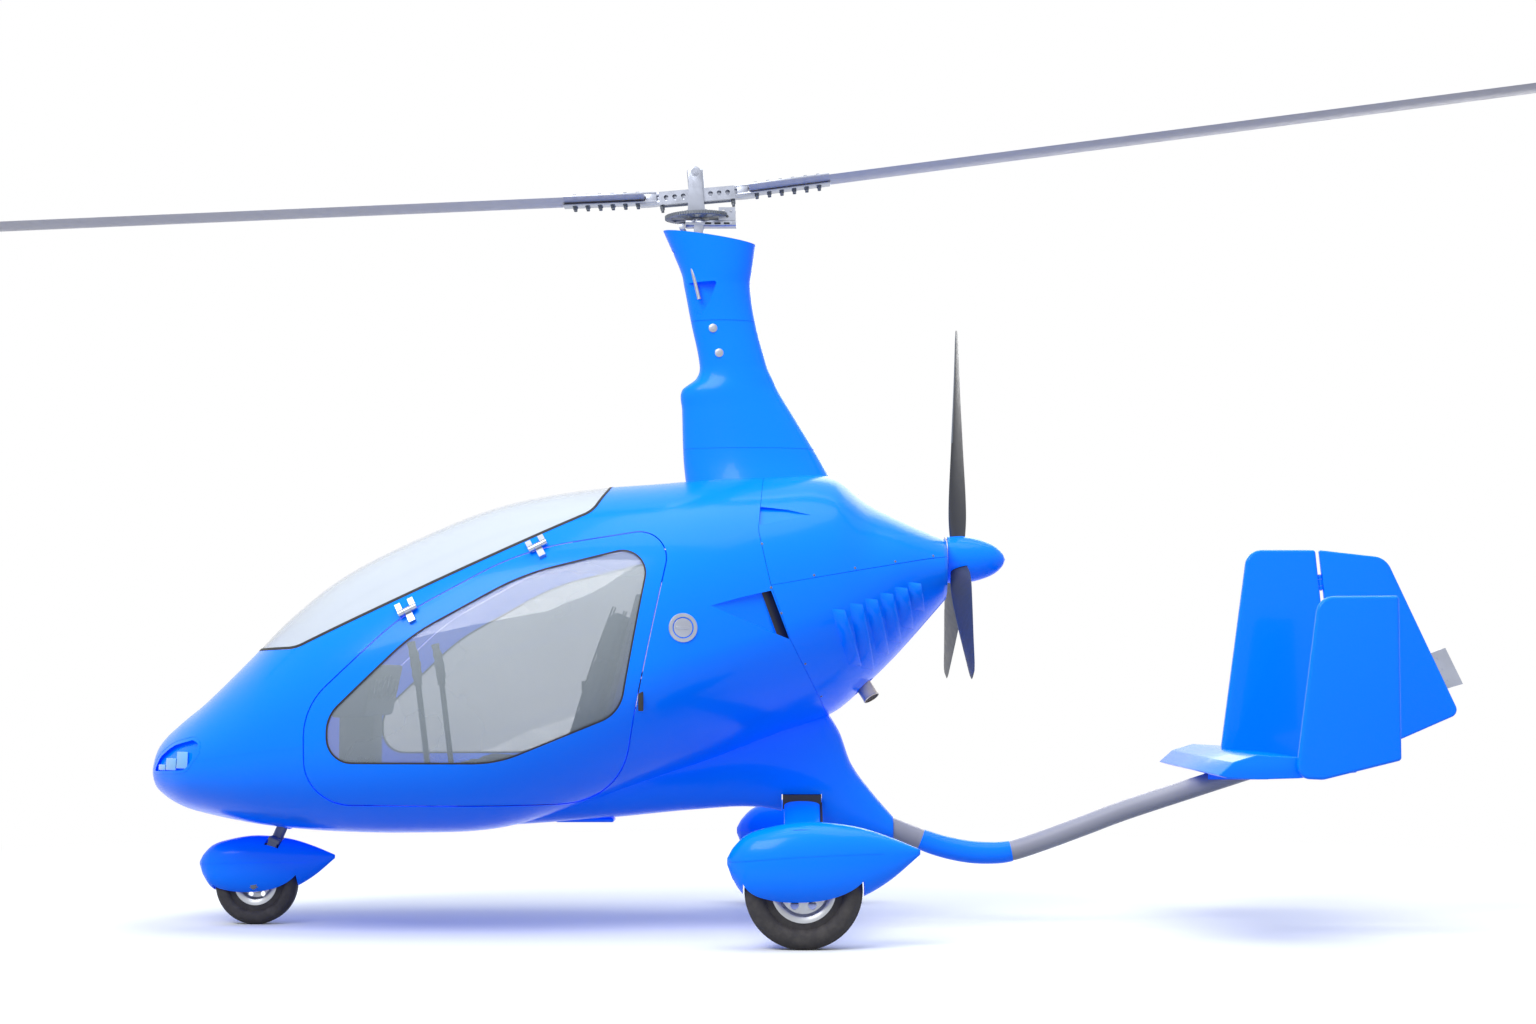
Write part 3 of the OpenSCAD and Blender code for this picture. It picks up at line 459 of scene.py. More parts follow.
def prism(outline, x0, x1):
    """A solid with a side outline of (y, z) points, from x0 to x1."""
    bm = bmesh.new()
    ring = [bm.verts.new((x0, y, z)) for y, z in outline]
    face = bm.faces.new(ring)
    pushed = bmesh.ops.extrude_face_region(bm, geom=[face])["geom"]
    bmesh.ops.translate(bm, verts=[g for g in pushed if isinstance(g, bmesh.types.BMVert)], vec=(x1 - x0, 0, 0))
    bmesh.ops.recalc_face_normals(bm, faces=bm.faces)
    return bm


def corner_arc(a, b, c, r, steps=14):
    """Points of an arc that rounds corner b between a and c."""
    a, b, c = Vector(a), Vector(b), Vector(c)
    u, v = (a - b).normalized(), (c - b).normalized()
    half = u.angle(v) / 2
    if r == 0 or half > 1.55:
        return [b]
    mid = (u + v).normalized()
    o = b + mid * (r / math.sin(half))
    start, end = b + u * (r / math.tan(half)) - o, b + v * (r / math.tan(half)) - o
    a0, a1 = math.atan2(start.y, start.x), math.atan2(end.y, end.x)
    turn = (a1 - a0 + math.pi) % (2 * math.pi) - math.pi
    return [o + Vector((math.cos(a0 + turn * k / steps), math.sin(a0 + turn * k / steps))) * r
            for k in range(steps + 1)]


def rounded(table, grow=0.0):
    """A closed outline in metres from corners of (y, z, radius) in millimetres, grown by a gap in metres."""
    n = len(table)
    points = []
    for i in range(n):
        (ay, az, _), (by, bz, r), (cy, cz, _) = table[i - 1], table[i], table[(i + 1) % n]
        points += corner_arc((ay * MM, az * MM), (by * MM, bz * MM), (cy * MM, cz * MM), r * MM)
    if grow == 0.0:
        return [tuple(p) for p in points]
    area = sum(points[i - 1].x * points[i].y - points[i].x * points[i - 1].y for i in range(len(points)))
    out = []
    for i, p in enumerate(points):
        along = (points[(i + 1) % len(points)] - points[i - 1]).normalized()
        side = Vector((along.y, -along.x)) * (1 if area > 0 else -1)
        out.append(tuple(p + side * grow))
    return out


print("shape helpers ready")

# %% [markdown]
# ## The fuselage skin
# The body is one egg-shaped loft, wider and boxier at the cabin floor than at the roof. On the real machine it
# is a composite shell in several mouldings with a single coat of paint, so most joints can't be seen. Two
# lofts, an outer and an inner one, make a closed wall. Boolean cuts then open the windscreen, the doors and
# the engine cowl. A cut leaves long thin faces that would shade badly, so each face that still lies on the
# loft takes its normals from the smooth, uncut loft.

# %% Fuselage sections
POD = [
    # y, top z, widest z, bottom z, half width, upper roundness, lower roundness
    (-1968, 600, 560, 520, 60, 2.0, 2.0),
    (-1930, 672, 560, 478, 190, 2.0, 2.0),
    (-1850, 745, 575, 432, 310, 2.1, 2.2),
    (-1757, 820, 600, 405, 400, 2.1, 2.3),
    (-1584, 990, 650, 372, 500, 2.1, 2.5),
    (-1443, 1134, 700, 355, 560, 2.2, 2.6),
    (-1258, 1278, 750, 343, 610, 2.3, 2.7),
    (-1000, 1412, 800, 339, 655, 2.3, 2.7),
    (-703, 1530, 850, 353, 685, 2.3, 2.6),
    (-400, 1590, 900, 430, 690, 2.4, 2.3),
    (-100, 1615, 960, 530, 680, 2.4, 2.0),
    (100, 1632, 1010, 600, 630, 2.4, 1.9),
    (300, 1642, 1070, 680, 550, 2.3, 1.85),
    (530, 1642, 1160, 775, 440, 2.1, 1.85),
    (660, 1548, 1220, 885, 360, 2.0, 1.9),
    (780, 1486, 1270, 1005, 280, 2.0, 1.95),
    (943, 1412, 1300, 1190, 165, 2.0, 2.0)]
DOOR = [(-1312, 462, 150), (-1312, 800, 240), (-975, 1118, 900), (-560, 1345, 1000), (-36, 1430, 95),
        (-236, 455, 260)]
WINDOW = [(-1234, 605, 90), (-1234, 770, 130), (-940, 1052, 700), (-560, 1262, 900), (-106, 1376, 85),
          (-214, 778, 130), (-640, 605, 420)]
WINDSCREEN = [(-2100, 985, 0), (-1365, 1003, 160), (-326, 1488, 90), (-281, 1580, 60), (-276, 1900, 0),
              (-2100, 1900, 0)]
COWL = [(300, 2000, 0), (258, 1420, 120), (302, 1227, 300), (369, 1038, 300), (480, 820, 300), (560, 640, 0),
        (1200, 500, 0), (1200, 2000, 0)]
UPPER_COWL = [(200, 1205, 0), (860, 1330, 200), (1000, 1350, 0), (1200, 2000, 0), (200, 2000, 0)]
WALL = 0.030
DOOR_GAP = 0.004
pod_first, pod_last = POD[0][0], POD[-1][0]


def pod_point(y, turn, inset=0.0):
    """A point on the fuselage skin: y in metres, turn as a fraction of a full turn from the left side."""
    _, top, wide, low, half, p_up, p_down = row_at(POD, y / MM)
    angle = 2 * math.pi * turn
    up = math.sin(angle) >= 0
    height, power = (top - wide, 2 / p_up) if up else (wide - low, 2 / p_down)
    return Vector(((half * MM - inset) * signed_pow(math.cos(angle), power), y,
                   wide * MM + (height * MM - inset) * signed_pow(math.sin(angle), power)))


def pod(inset=0.0, around=128, along=160):
    """The fuselage loft, drawn in by an inset."""
    front, back = pod_first * MM + inset * 1.2, pod_last * MM - inset * 0.5
    scale_y = (back - front) / ((pod_last - pod_first) * MM)

    def place(u, v):
        y = front + (station(POD, v) - pod_first) * MM * scale_y
        return pod_point(y, u, inset)

    return wrapped(around, along, place)


def as_object(name, bm):
    """A helper object that is only used to cut or to copy from."""
    mesh = bpy.data.meshes.new(name)
    bm.to_mesh(mesh)
    bm.free()
    mesh.polygons.foreach_set("use_smooth", [True] * len(mesh.polygons))
    made = bpy.data.objects.new(name, mesh)
    scene.collection.objects.link(made)
    return made


def pod_wall(outer=0.0, inner=WALL):
    """A closed wall between two insets: the outer loft with the inner one, turned inside out, in the same mesh."""
    bm = pod(outer)
    lining = pod(inner)
    bmesh.ops.reverse_faces(lining, faces=lining.faces)
    lining_mesh = bpy.data.meshes.new("lining")
    lining.to_mesh(lining_mesh)
    lining.free()
    bm.from_mesh(lining_mesh)
    bpy.data.meshes.remove(lining_mesh)
    return bm


def carved(shape, steps):
    """A bmesh after a row of Boolean steps. Each step is (operation, bmesh of the cutter)."""
    work = as_object("work", shape)
    for operation, cutter_bm in steps:
        cutter = as_object("cutter", cutter_bm)
        modifier = work.modifiers.new("cut", "BOOLEAN")
        modifier.operation = operation
        modifier.solver = "EXACT"
        modifier.object = cutter
        bpy.context.view_layer.update()
        result = bpy.data.meshes.new_from_object(work.evaluated_get(bpy.context.evaluated_depsgraph_get()))
        work.modifiers.clear()
        old = work.data
        work.data = result
        bpy.data.meshes.remove(old)
        bpy.data.objects.remove(cutter)
    out = bmesh.new()
    out.from_mesh(work.data)
    bpy.data.objects.remove(work)
    return out


def smooth_source(bm):
    """A search tree of a smooth surface with its point normals, to shade what is cut from it."""
    bmesh.ops.triangulate(bm, faces=bm.faces)
    bm.normal_update()
    tree = BVHTree.FromBMesh(bm)
    points = [[v.co.copy() for v in f.verts] for f in bm.faces]
    normals = [[v.normal.copy() for v in f.verts] for f in bm.faces]
    bm.free()
    return tree, points, normals


def shade_from(made, sources, near=0.0012):
    """Gives each face that lies on a source surface that surface's smooth normals, and leaves the rest flat."""
    mesh = made.data
    normals = [Vector((0, 0, 1))] * len(mesh.loops)
    for face in mesh.polygons:
        found = None
        for tree, points, vertex_normals in sources:
            spot, normal, index, distance = tree.find_nearest(face.center)
            if spot is not None and distance < near and abs(normal.dot(face.normal)) > 0.94:
                found = (tree, points, vertex_normals, 1 if normal.dot(face.normal) > 0 else -1)
                break
        for loop_index in face.loop_indices:
            normal = face.normal
            if found:
                tree, points, vertex_normals, sense = found
                place = mesh.vertices[mesh.loops[loop_index].vertex_index].co
                spot, _, index, _ = tree.find_nearest(place)
                a, b, c = points[index]
                area = (b - a).cross(c - a)
                total = area.length_squared or 1e-12
                wa = (b - spot).cross(c - spot).dot(area) / total
                wb = (c - spot).cross(a - spot).dot(area) / total
                na, nb, nc = vertex_normals[index]
                normal = ((na * wa + nb * wb + nc * (1 - wa - wb)) * sense).normalized()
            normals[loop_index] = normal
    mesh.polygons.foreach_set("use_smooth", [True] * len(mesh.polygons))
    mesh.normals_split_custom_set(normals)


outer_source = smooth_source(pod())
inner_source = smooth_source(pod(WALL))
skin_sources = [outer_source, inner_source]
print("fuselage", len(outer_source[1]), "triangles in the outer loft")

# %% [markdown]
# ## Keel and mast lofts
# Below the cabin a narrow keel fairing sweeps down to the tail tube, and above it a tall fairing hides the
# mast. Both are lofts of the same kind, and the fuselage is cut where they pass through it.

# %% Keel and mast sections
KEEL = [
    # y, top z, bottom z, half width
    (-820, 470, 352, 150), (-333, 640, 386, 235), (37, 780, 420, 175), (259, 850, 427, 130),
    (470, 810, 375, 95), (548, 708, 350, 78), (592, 590, 340, 66), (666, 486, 326, 54), (747, 392, 310, 42)]
MAST = [
    # z, front y, rear y, half width
    (1560, -10, 560, 150), (1707, -26, 481, 112), (1892, -32, 370, 90), (1967, -33, 325, 84),
    (2011, 20, 305, 78), (2059, 33, 284, 75), (2225, 0, 240, 74), (2355, -25, 222, 82), (2410, -37, 228, 88),
    (2580, -110, 252, 104)]


def keel_loft(grow=0.0):
    def place(u, v):
        y = station(KEEL, v)
        _, top, low, half = row_at(KEEL, y)
        angle = 2 * math.pi * u
        return Vector(((half * MM + grow) * signed_pow(math.cos(angle), 0.8), y * MM,
                       (top + low) / 2 * MM + ((top - low) / 2 * MM + grow) * signed_pow(math.sin(angle), 0.9)))
    return wrapped(64, 64, place)


def mast_loft(grow=0.0):
    def place(u, v):
        z = station(MAST, v)
        _, front, rear, half = row_at(MAST, z)
        angle = 2 * math.pi * u
        return Vector(((half * MM + grow) * signed_pow(math.cos(angle), 0.9),
                       (front + rear) / 2 * MM - ((rear - front) / 2 * MM + grow) * math.sin(angle), z * MM))
    return wrapped(80, 90, place)


def cuboid(low, high):
    """A box-shaped cutter from its low corner to its high corner."""
    bm = bmesh.new()
    bmesh.ops.create_cube(bm, size=1.0)
    size = Vector(high) - Vector(low)
    bmesh.ops.scale(bm, verts=bm.verts, vec=size)
    bmesh.ops.translate(bm, verts=bm.verts, vec=(Vector(low) + Vector(high)) / 2)
    return bm


def rod(a, b, r, segments=48, r_end=None):
    """A round bar between two points, or a cone where r_end differs."""
    a, b = Vector(a), Vector(b)
    bm = bmesh.new()
    bmesh.ops.create_cone(bm, cap_ends=True, segments=segments, radius1=r, radius2=r if r_end is None else r_end,
                          depth=(b - a).length)
    turn = (b - a).to_track_quat("Z", "Y").to_matrix().to_4x4()
    bmesh.ops.transform(bm, matrix=Matrix.Translation((a + b) / 2) @ turn, verts=bm.verts)
    return bm


def doors_cut(side, grow=DOOR_GAP):
    return prism(rounded(DOOR, grow), side * 0.2, side * 0.9)


print("keel and mast lofts ready")

def skin_x(y, z, inset=0.0):
    """Distance of the fuselage skin from the centre line at a place in the side view, in metres."""
    _, top, wide, low, half, p_up, p_down = row_at(POD, y / MM)
    up = z >= wide * MM
    height, power = ((top - wide) * MM, p_up) if up else ((wide - low) * MM, p_down)
    share = min(abs(z - wide * MM) / (height - inset), 1.0)
    return (half * MM - inset) * (1 - share**power) ** (1 / power)


def hull_of(points):
    bm = bmesh.new()
    for p in points:
        bm.verts.new(p)
    made = bmesh.ops.convex_hull(bm, input=bm.verts)
    loose = [v for v in made["geom_interior"] if isinstance(v, bmesh.types.BMVert)]
    bmesh.ops.delete(bm, geom=loose, context="VERTS")
    return bm


def ramp(edge, mouth, deep):
    """A cutter for a scoop on the left side: flush along its edge points and deep at its mouth points."""
    points = []
    for y, z in edge:
        x = skin_x(y, z)
        points += [Vector((x + 0.03, y, z)), Vector((x - 0.0015, y, z))]
    for y, z in mouth:
        x = skin_x(y, z)
        points += [Vector((x + 0.03, y, z)), Vector((x - deep, y, z))]
    return hull_of(points)


def both_sides(make):
    """The same cutter on the left and, mirrored, on the right."""
    twin = make()
    bmesh.ops.transform(twin, matrix=Matrix.Scale(-1, 4, (1, 0, 0)), verts=twin.verts)
    bmesh.ops.reverse_faces(twin, faces=twin.faces)
    return [("DIFFERENCE", make()), ("DIFFERENCE", twin)]


def skin_slice(outline, low, high, reach=0.9):
    """A solid between two depths of the fuselage skin, inside a side outline, on both sides."""
    return carved(pod(low), [("DIFFERENCE", pod(high)), ("INTERSECT", prism(outline, -reach, reach))])


def seam_strip(points, x0, x1, half=0.0011, only=False):
    """A thin curved strip in the side view, pushed along x, to cut a seam with. only gives just its outline."""
    outline = [(y, z + half) for y, z in points] + [(y, z - half) for y, z in reversed(points)]
    return outline if only else prism(outline, x0, x1)


def seam_line(y0, z0, y1, z1, sag, steps=14):
    return [(y0 + (y1 - y0) * k / steps, z0 + (z1 - z0) * k / steps + sag * math.sin(math.pi * k / steps))
            for k in range(steps + 1)]


LAMP = [(-1925, 566, 4), (-1775, 575, 40), (-1722, 640, 18), (-1722, 672, 10), (-1745, 682, 10), (-1838, 660, 160),
        (-1898, 617, 60)]
SCOOP_EDGE = [(0.095, 1.151), (0.20, 1.181), (0.17, 1.131), (0.25, 1.087), (0.31, 1.058)]
SCOOP_MOUTH = [(0.302, 1.206), (0.366, 1.037)]

# %% Fuselage skin piece
skin_bm = carved(pod_wall(), [
    ("DIFFERENCE", prism(rounded(WINDSCREEN, 0.001), -0.9, 0.9)),
    ("DIFFERENCE", prism(rounded(COWL, 0.0015), -0.9, 0.9)),
    ("DIFFERENCE", doors_cut(1)),
    ("DIFFERENCE", doors_cut(-1)),
    ("DIFFERENCE", keel_loft()),
    ("DIFFERENCE", mast_loft(0.002)),
    ("DIFFERENCE", skin_slice(rounded(LAMP), -0.004, 0.023)),
    ("DIFFERENCE", carved(skin_slice(rounded(LAMP, 0.0125), -0.004, 0.0012),
                          [("DIFFERENCE", prism(rounded(LAMP, 0.0105), -0.9, 0.9))])),
    ("DIFFERENCE", skin_slice(seam_strip(seam_line(-1.690, 0.612, -1.316, 0.660, 0.004), 0, 0, only=True), -0.004,
                              0.0008))]
    + both_sides(lambda: ramp(SCOOP_EDGE, SCOOP_MOUTH, 0.018)))
skin = piece("fuselage_skin", skin_bm, blue_paint, "airframe",
             ["nose_shell", "belly_pan", "roof_panel", "side_panel_left", "side_panel_right"])
shade_from(skin, skin_sources)
print("skin", len(skin.data.polygons), "faces")

# %% [markdown]
# ## Glass, doors and cowls
# Each of these panels is the same wall cut to its own side outline, so edges and gaps match by
# construction. The windscreen and the door windows are thin acrylic that follows the same loft, bedded in a
# slim black seal.

# %% Windscreen
def panel(name, shape, steps, material, body, replaces=(), sources=None):
    """A panel carved from a wall, shaded from the smooth loft."""
    made = piece(name, carved(shape, steps), material, body, replaces)
    shade_from(made, sources or skin_sources)
    return made


glass_sources = [outer_source, smooth_source(pod(0.006))]
panel("windscreen", pod_wall(0.0, 0.006), [("INTERSECT", prism(rounded(WINDSCREEN, -0.003), -0.9, 0.9))],
      windscreen_glass, "airframe", ["windscreen"], glass_sources)
panel("windscreen_seal", pod_wall(-0.0012, 0.008), [
    ("INTERSECT", prism(rounded(WINDSCREEN, 0.0), -0.9, 0.9)),
    ("DIFFERENCE", prism(rounded(WINDSCREEN, -0.009), -0.95, 0.95))],
    black_rubber, "airframe")
print("windscreen done")

# %% Doors and their windows
window_sources = [smooth_source(pod(0.003)), smooth_source(pod(0.009))]
for side, hand in ((1, "left"), (-1, "right")):
    near_x, far_x = side * 0.25, side * 0.9
    panel(f"door_{hand}", pod_wall(), [
        ("INTERSECT", prism(rounded(DOOR), near_x, far_x)),
        ("DIFFERENCE", prism(rounded(WINDOW), side * 0.2, side * 0.95))],
        blue_paint, f"door_{hand}", [f"door_{hand}"])
    panel(f"door_window_{hand}", pod_wall(0.003, 0.009),
          [("INTERSECT", prism(rounded(WINDOW, -0.001), near_x, far_x))],
          window_glass, f"door_{hand}", [f"door_window_{hand}"], window_sources)
    panel(f"door_window_seal_{hand}", pod_wall(0.0005, 0.011), [
        ("INTERSECT", prism(rounded(WINDOW, -0.0003), near_x, far_x)),
        ("DIFFERENCE", prism(rounded(WINDOW, -0.006), side * 0.2, side * 0.95))],
        black_rubber, f"door_{hand}")
print("doors done")

# %% Cowls
cowl_cuts = [("INTERSECT", prism(rounded(COWL), -0.9, 0.9)), ("DIFFERENCE", keel_loft(0.001)),
             ("DIFFERENCE", rod((0, 0.8, 1.338), (0, 1.1, 1.338), 0.07))]
exhaust_hole = rod((0, 0.56, 1.0), (0.0657, 0.6783, 0.809), 0.044)
panel("upper_cowl", pod_wall(), cowl_cuts[:1] + [
    ("DIFFERENCE", rod((0, 0.8, 1.338), (0, 1.1, 1.338), 0.07)),
    ("INTERSECT", prism(rounded(UPPER_COWL, -0.001), -0.95, 0.95)),
    ("DIFFERENCE", mast_loft(0.002))]
    + both_sides(lambda: ramp([(0.440, 1.480), (0.36, 1.462), (0.36, 1.498)], [(0.262, 1.440), (0.259, 1.508)], 0.017)),
    blue_paint, "airframe", ["upper_cowl"])
panel("lower_cowl", pod_wall(), [
    ("INTERSECT", prism(rounded(COWL), -0.9, 0.9)), ("DIFFERENCE", keel_loft(0.001)),
    ("DIFFERENCE", rod((0, 0.8, 1.338), (0, 1.1, 1.338), 0.07)),
    ("DIFFERENCE", prism(rounded(UPPER_COWL, 0.001), -0.95, 0.95)),
    ("DIFFERENCE", exhaust_hole)],
    blue_paint, "airframe", ["lower_cowl"])
print("cowls done")

# %% [markdown]
# ## Joining and softening
# Small fittings are made from plain bars and blocks, whose edges are then bevelled so that they catch the
# light. Several of them are gathered in one mesh where they are bolted together on the real machine.

# %% Fitting helpers
def gathered(*parts):
    """One bmesh from several."""
    out = bmesh.new()
    for part in parts:
        mesh = bpy.data.meshes.new("part")
        part.to_mesh(mesh)
        part.free()
        out.from_mesh(mesh)
        bpy.data.meshes.remove(mesh)
    return out


def softened(bm, width, segments=2, angle=30.0):
    """Bevels the edges that turn by more than an angle."""
    bmesh.ops.remove_doubles(bm, verts=bm.verts, dist=1e-6)
    edges = [e for e in bm.edges if e.is_manifold and e.calc_face_angle(0.0) > math.radians(angle)]
    bmesh.ops.bevel(bm, geom=edges, offset=width, offset_type="OFFSET", segments=segments, profile=0.5,
                    affect="EDGES", clamp_overlap=True, material=-1)
    return bm


def placed(bm, matrix):
    bmesh.ops.transform(bm, matrix=matrix, verts=bm.verts)
    if matrix.determinant() < 0:
        bmesh.ops.reverse_faces(bm, faces=bm.faces)
    return bm


def mirrored_x(bm):
    return placed(bm, Matrix.Scale(-1, 4, (1, 0, 0)))


def tube(points, radius, segments=20, along=None):
    """A smooth tube through points. radius is a number or a function of the fraction along it."""
    points = [Vector(p) for p in points]
    lengths = [0.0]
    for a, b in zip(points, points[1:]):
        lengths.append(lengths[-1] + (b - a).length)
    total = lengths[-1]

    def at(v):
        goal, i = v * total, 0
        while i < len(points) - 2 and lengths[i + 1] < goal:
            i += 1
        return points[i].lerp(points[i + 1], (goal - lengths[i]) / max(lengths[i + 1] - lengths[i], 1e-9))

    def place(u, v):
        way = (at(min(v + 0.002, 1)) - at(max(v - 0.002, 0))).normalized()
        side = way.cross(Vector((1, 0, 0)) if abs(way.x) < 0.9 else Vector((0, 1, 0))).normalized()
        up = way.cross(side)
        r = radius(v) if callable(radius) else radius
        return at(v) + (side * math.cos(2 * math.pi * u) + up * math.sin(2 * math.pi * u)) * r

    return wrapped(segments, along or 4 * len(points), place)


def dressed(names, material):
    """Gives CAD nodes that keep their shape a finish of their own."""
    for name in names:
        for slot in nodes[name].material_slots:
            slot.material = material


print("fitting helpers ready")

# %% [markdown]
# ## Mast fairing
# The tall fairing is a loft with a waist: a deep chord where it meets the roof, a step at its front edge, and a
# flared, dished rim under the rotor head. A shallow groove marks where its cap comes off, two round covers
# hide bolts, and a push rod runs down into a pocket on each side.

# %% Mast fairing
def ring_groove(z, half_height, depth):
    """A ring that cuts a groove round the mast fairing at one height."""
    _, front, rear, half = [v * MM for v in row_at(MAST, z / MM)]
    corners = [(-half_height, 0.01), (half_height, 0.01), (half_height, -depth), (-half_height, -depth)]

    def place(u, v):
        dz, grow = corners[int(round(v * 4)) % 4]
        angle = 2 * math.pi * u
        return Vector(((half + grow) * signed_pow(math.cos(angle), 0.9),
                       (front + rear) / 2 - ((rear - front) / 2 + grow) * math.sin(angle), z + dz))

    return wrapped(80, 4, place, caps=False)


RIM_TURN = Matrix.Translation((0, -0.107, 2.566)) @ Matrix.Rotation(math.radians(-8.9), 4, "X")
POCKET = [(-10, 2362, 8), (100, 2368, 8), (74, 2296, 30), (34, 2232, 12), (4, 2290, 30)]
dish = hull_of([Vector((0, y, 2.478 + h)) + Vector((math.cos(a), math.sin(a), 0)) * r
                for y, h, r in ((-0.03, 0, 0.042), (-0.03, 0.2, 0.060), (0.165, 0, 0.045), (0.165, 0.2, 0.062))
                for a in [math.radians(k * 10) for k in range(36)]])
mast_cuts = [("DIFFERENCE", pod(WALL)),
             ("DIFFERENCE", placed(cuboid((-0.3, -0.1, 0), (0.3, 0.5, 0.2)), RIM_TURN)),
             ("DIFFERENCE", dish),
             ("DIFFERENCE", cuboid((-0.036, 0.047, 1.0), (0.036, 0.127, 2.481))),
             ("DIFFERENCE", ring_groove(2.222, 0.0015, 0.002)),
             ("DIFFERENCE", ring_groove(1.745, 0.0012, 0.0015))]
for side in (1, -1):
    mast_cuts.append(("DIFFERENCE", prism(rounded(POCKET), side * 0.046, side * 0.2)))
mast_cover = piece("mast_fairing", carved(mast_loft(), mast_cuts), blue_paint, "airframe",
                   ["mast_fairing"])
mast_source = smooth_source(mast_loft())
shade_from(mast_cover, [mast_source])


def on_mast(y, z):
    """Half width of the mast fairing at a place in the side view."""
    _, front, rear, half = [v * MM for v in row_at(MAST, z / MM)]
    share = min(abs(y - (front + rear) / 2) / ((rear - front) / 2), 1.0)
    return half * signed_pow(math.sqrt(1 - share**2), 0.9)


covers = []
for y, z in ((0.085, 2.192), (0.108, 2.100)):
    for side in (1, -1):
        x = on_mast(y, z)
        covers.append(softened(rod((side * (x - 0.006), y, z), (side * (x + 0.004), y, z), 0.016, 32), 0.0015))
        covers.append(rod((side * x, y, z), (side * (x + 0.0065), y, z), 0.007, 6))
piece("mast_bolt_covers", gathered(*covers), bare_metal, "airframe")
rods = []
for side in (1, -1):
    top, low = Vector((side * 0.052, -0.030, 2.572)), Vector((side * 0.066, 0.034, 2.300))
    rods += [tube([low, low.lerp(top, 0.5), top], lambda v: 0.0075 - 0.002 * (v > 0.9), 20, 40),
             softened(rod(top - Vector((0.012, 0, 0)), top + Vector((0.012, 0, 0)), 0.012, 24), 0.002)]
piece("control_push_rods", gathered(*rods), bare_metal, "airframe")
print("mast fairing", len(mast_cover.data.polygons), "faces")

# %% [markdown]
# ## Keel fairing and belly
# The keel fairing carries the load from the cabin to the tail tube. Its sides sweep up into the belly, and the
# gear bow passes through it in an arch. The gap round the bow is dark from a matt black block: painted shade.

# %% Keel fairing
bow_hole = [(-0.16, 0.478), (0.16, 0.478), (0.72, 0.248), (0.72, 0.150), (0.12, 0.405), (-0.12, 0.405),
            (-0.72, 0.150), (-0.72, 0.248)]
bow_cutter = prism([(x, z) for x, z in bow_hole], 0.338, 0.486)
placed(bow_cutter, Matrix(((0, 1, 0, 0), (1, 0, 0, 0), (0, 0, 1, 0), (0, 0, 0, 1))))
KEEL_TUBE = [(0.560, 0.420), (0.700, 0.368), (0.800, 0.330), (0.900, 0.292), (1.000, 0.268), (1.090, 0.260),
             (1.180, 0.267), (1.300, 0.305), (1.450, 0.360), (1.600, 0.416), (1.860, 0.501), (2.130, 0.588)]
keel_cover = piece("keel_fairing", carved(keel_loft(), [
    ("DIFFERENCE", pod(WALL)), ("DIFFERENCE", bow_cutter),
    ("DIFFERENCE", rod((0, 0.44, 0.464), (0, 0.85, 0.3137), 0.0365))]), blue_paint, "airframe",
    ["keel_fairing"])
keel_source = smooth_source(keel_loft())
shade_from(keel_cover, [keel_source])
step = softened(cuboid((-0.055, -0.488, 0.374), (0.055, -0.277, 0.388)), 0.005, 3)
piece("belly_plate", step, blue_paint, "airframe")
print("keel fairing", len(keel_cover.data.polygons), "faces")

# %% [markdown]
# ## Main gear
# One sprung bow of glass fibre runs from wheel to wheel under the belly. It is a flat, streamlined bar that
# bends down on each side. A hose for the brake follows its rear edge.

# %% Gear bow
def bow_height(x):
    """Height of the bow's middle at a distance from the centre line: level, a soft bend, then straight down."""
    run = max(abs(x) - 0.06, 0.0)
    return 0.447 - 0.428 * (run**2 / (run + 0.10)) if run < 0.66 else 0.205


def bow_place(u, v):
    x = -0.742 + 1.484 * v
    angle = 2 * math.pi * u
    thick = 0.0165 + 0.006 * min(abs(x) / 0.7, 1.0)
    return Vector((x, 0.412 + 0.065 * signed_pow(math.cos(angle), 0.8),
                   bow_height(x) + thick * signed_pow(math.sin(angle), 0.9)))


main_y, main_z, main_x = 0.412, 0.197, 0.85
axles = [rod((s * 0.70, main_y, main_z), (s * 0.895, main_y, main_z), 0.012, 32) for s in (1, -1)]
caliper = [softened(cuboid((s * 0.748 - 0.012, main_y + 0.035, main_z - 0.03), (s * 0.748 + 0.012, main_y + 0.085,
           main_z + 0.04)), 0.004) for s in (1, -1)]
bow = piece("main_gear_bow", wrapped(48, 96, bow_place), blue_paint, "airframe", ["main_gear_bow"])
piece("main_axles", gathered(*axles, *caliper), grey_metal, "airframe")
hoses = []
for side in (1, -1):
    line = [(side * x, 0.481, bow_height(x) + 0.004) for x in (0.10, 0.2, 0.3, 0.4, 0.5, 0.6, 0.69)]
    hoses.append(tube(line, 0.0045, 12, 30))
piece("brake_hoses", gathered(*hoses), black_rubber, "airframe")
print("gear bow", len(bow.data.polygons), "faces")

# %% [markdown]
# ## Wheel spats
# Each spat is a drop-shaped shell, blunt in front and drawn out behind, with a well for the wheel. It is
# made of two mouldings, and a groove along its side shows where they join.

# %% Spats
SPAT = [
    # distance from the front, top, bottom, half width, as fractions of its length, height and width
    (0.00, 0.58, 0.50, 0.10), (0.03, 0.70, 0.33, 0.42), (0.10, 0.85, 0.12, 0.78), (0.22, 0.94, 0.03, 0.97),
    (0.38, 1.00, 0.00, 1.00), (0.54, 0.99, 0.03, 0.92), (0.70, 0.93, 0.13, 0.70), (0.85, 0.82, 0.33, 0.40),
    (1.00, 0.68, 0.62, 0.06)]


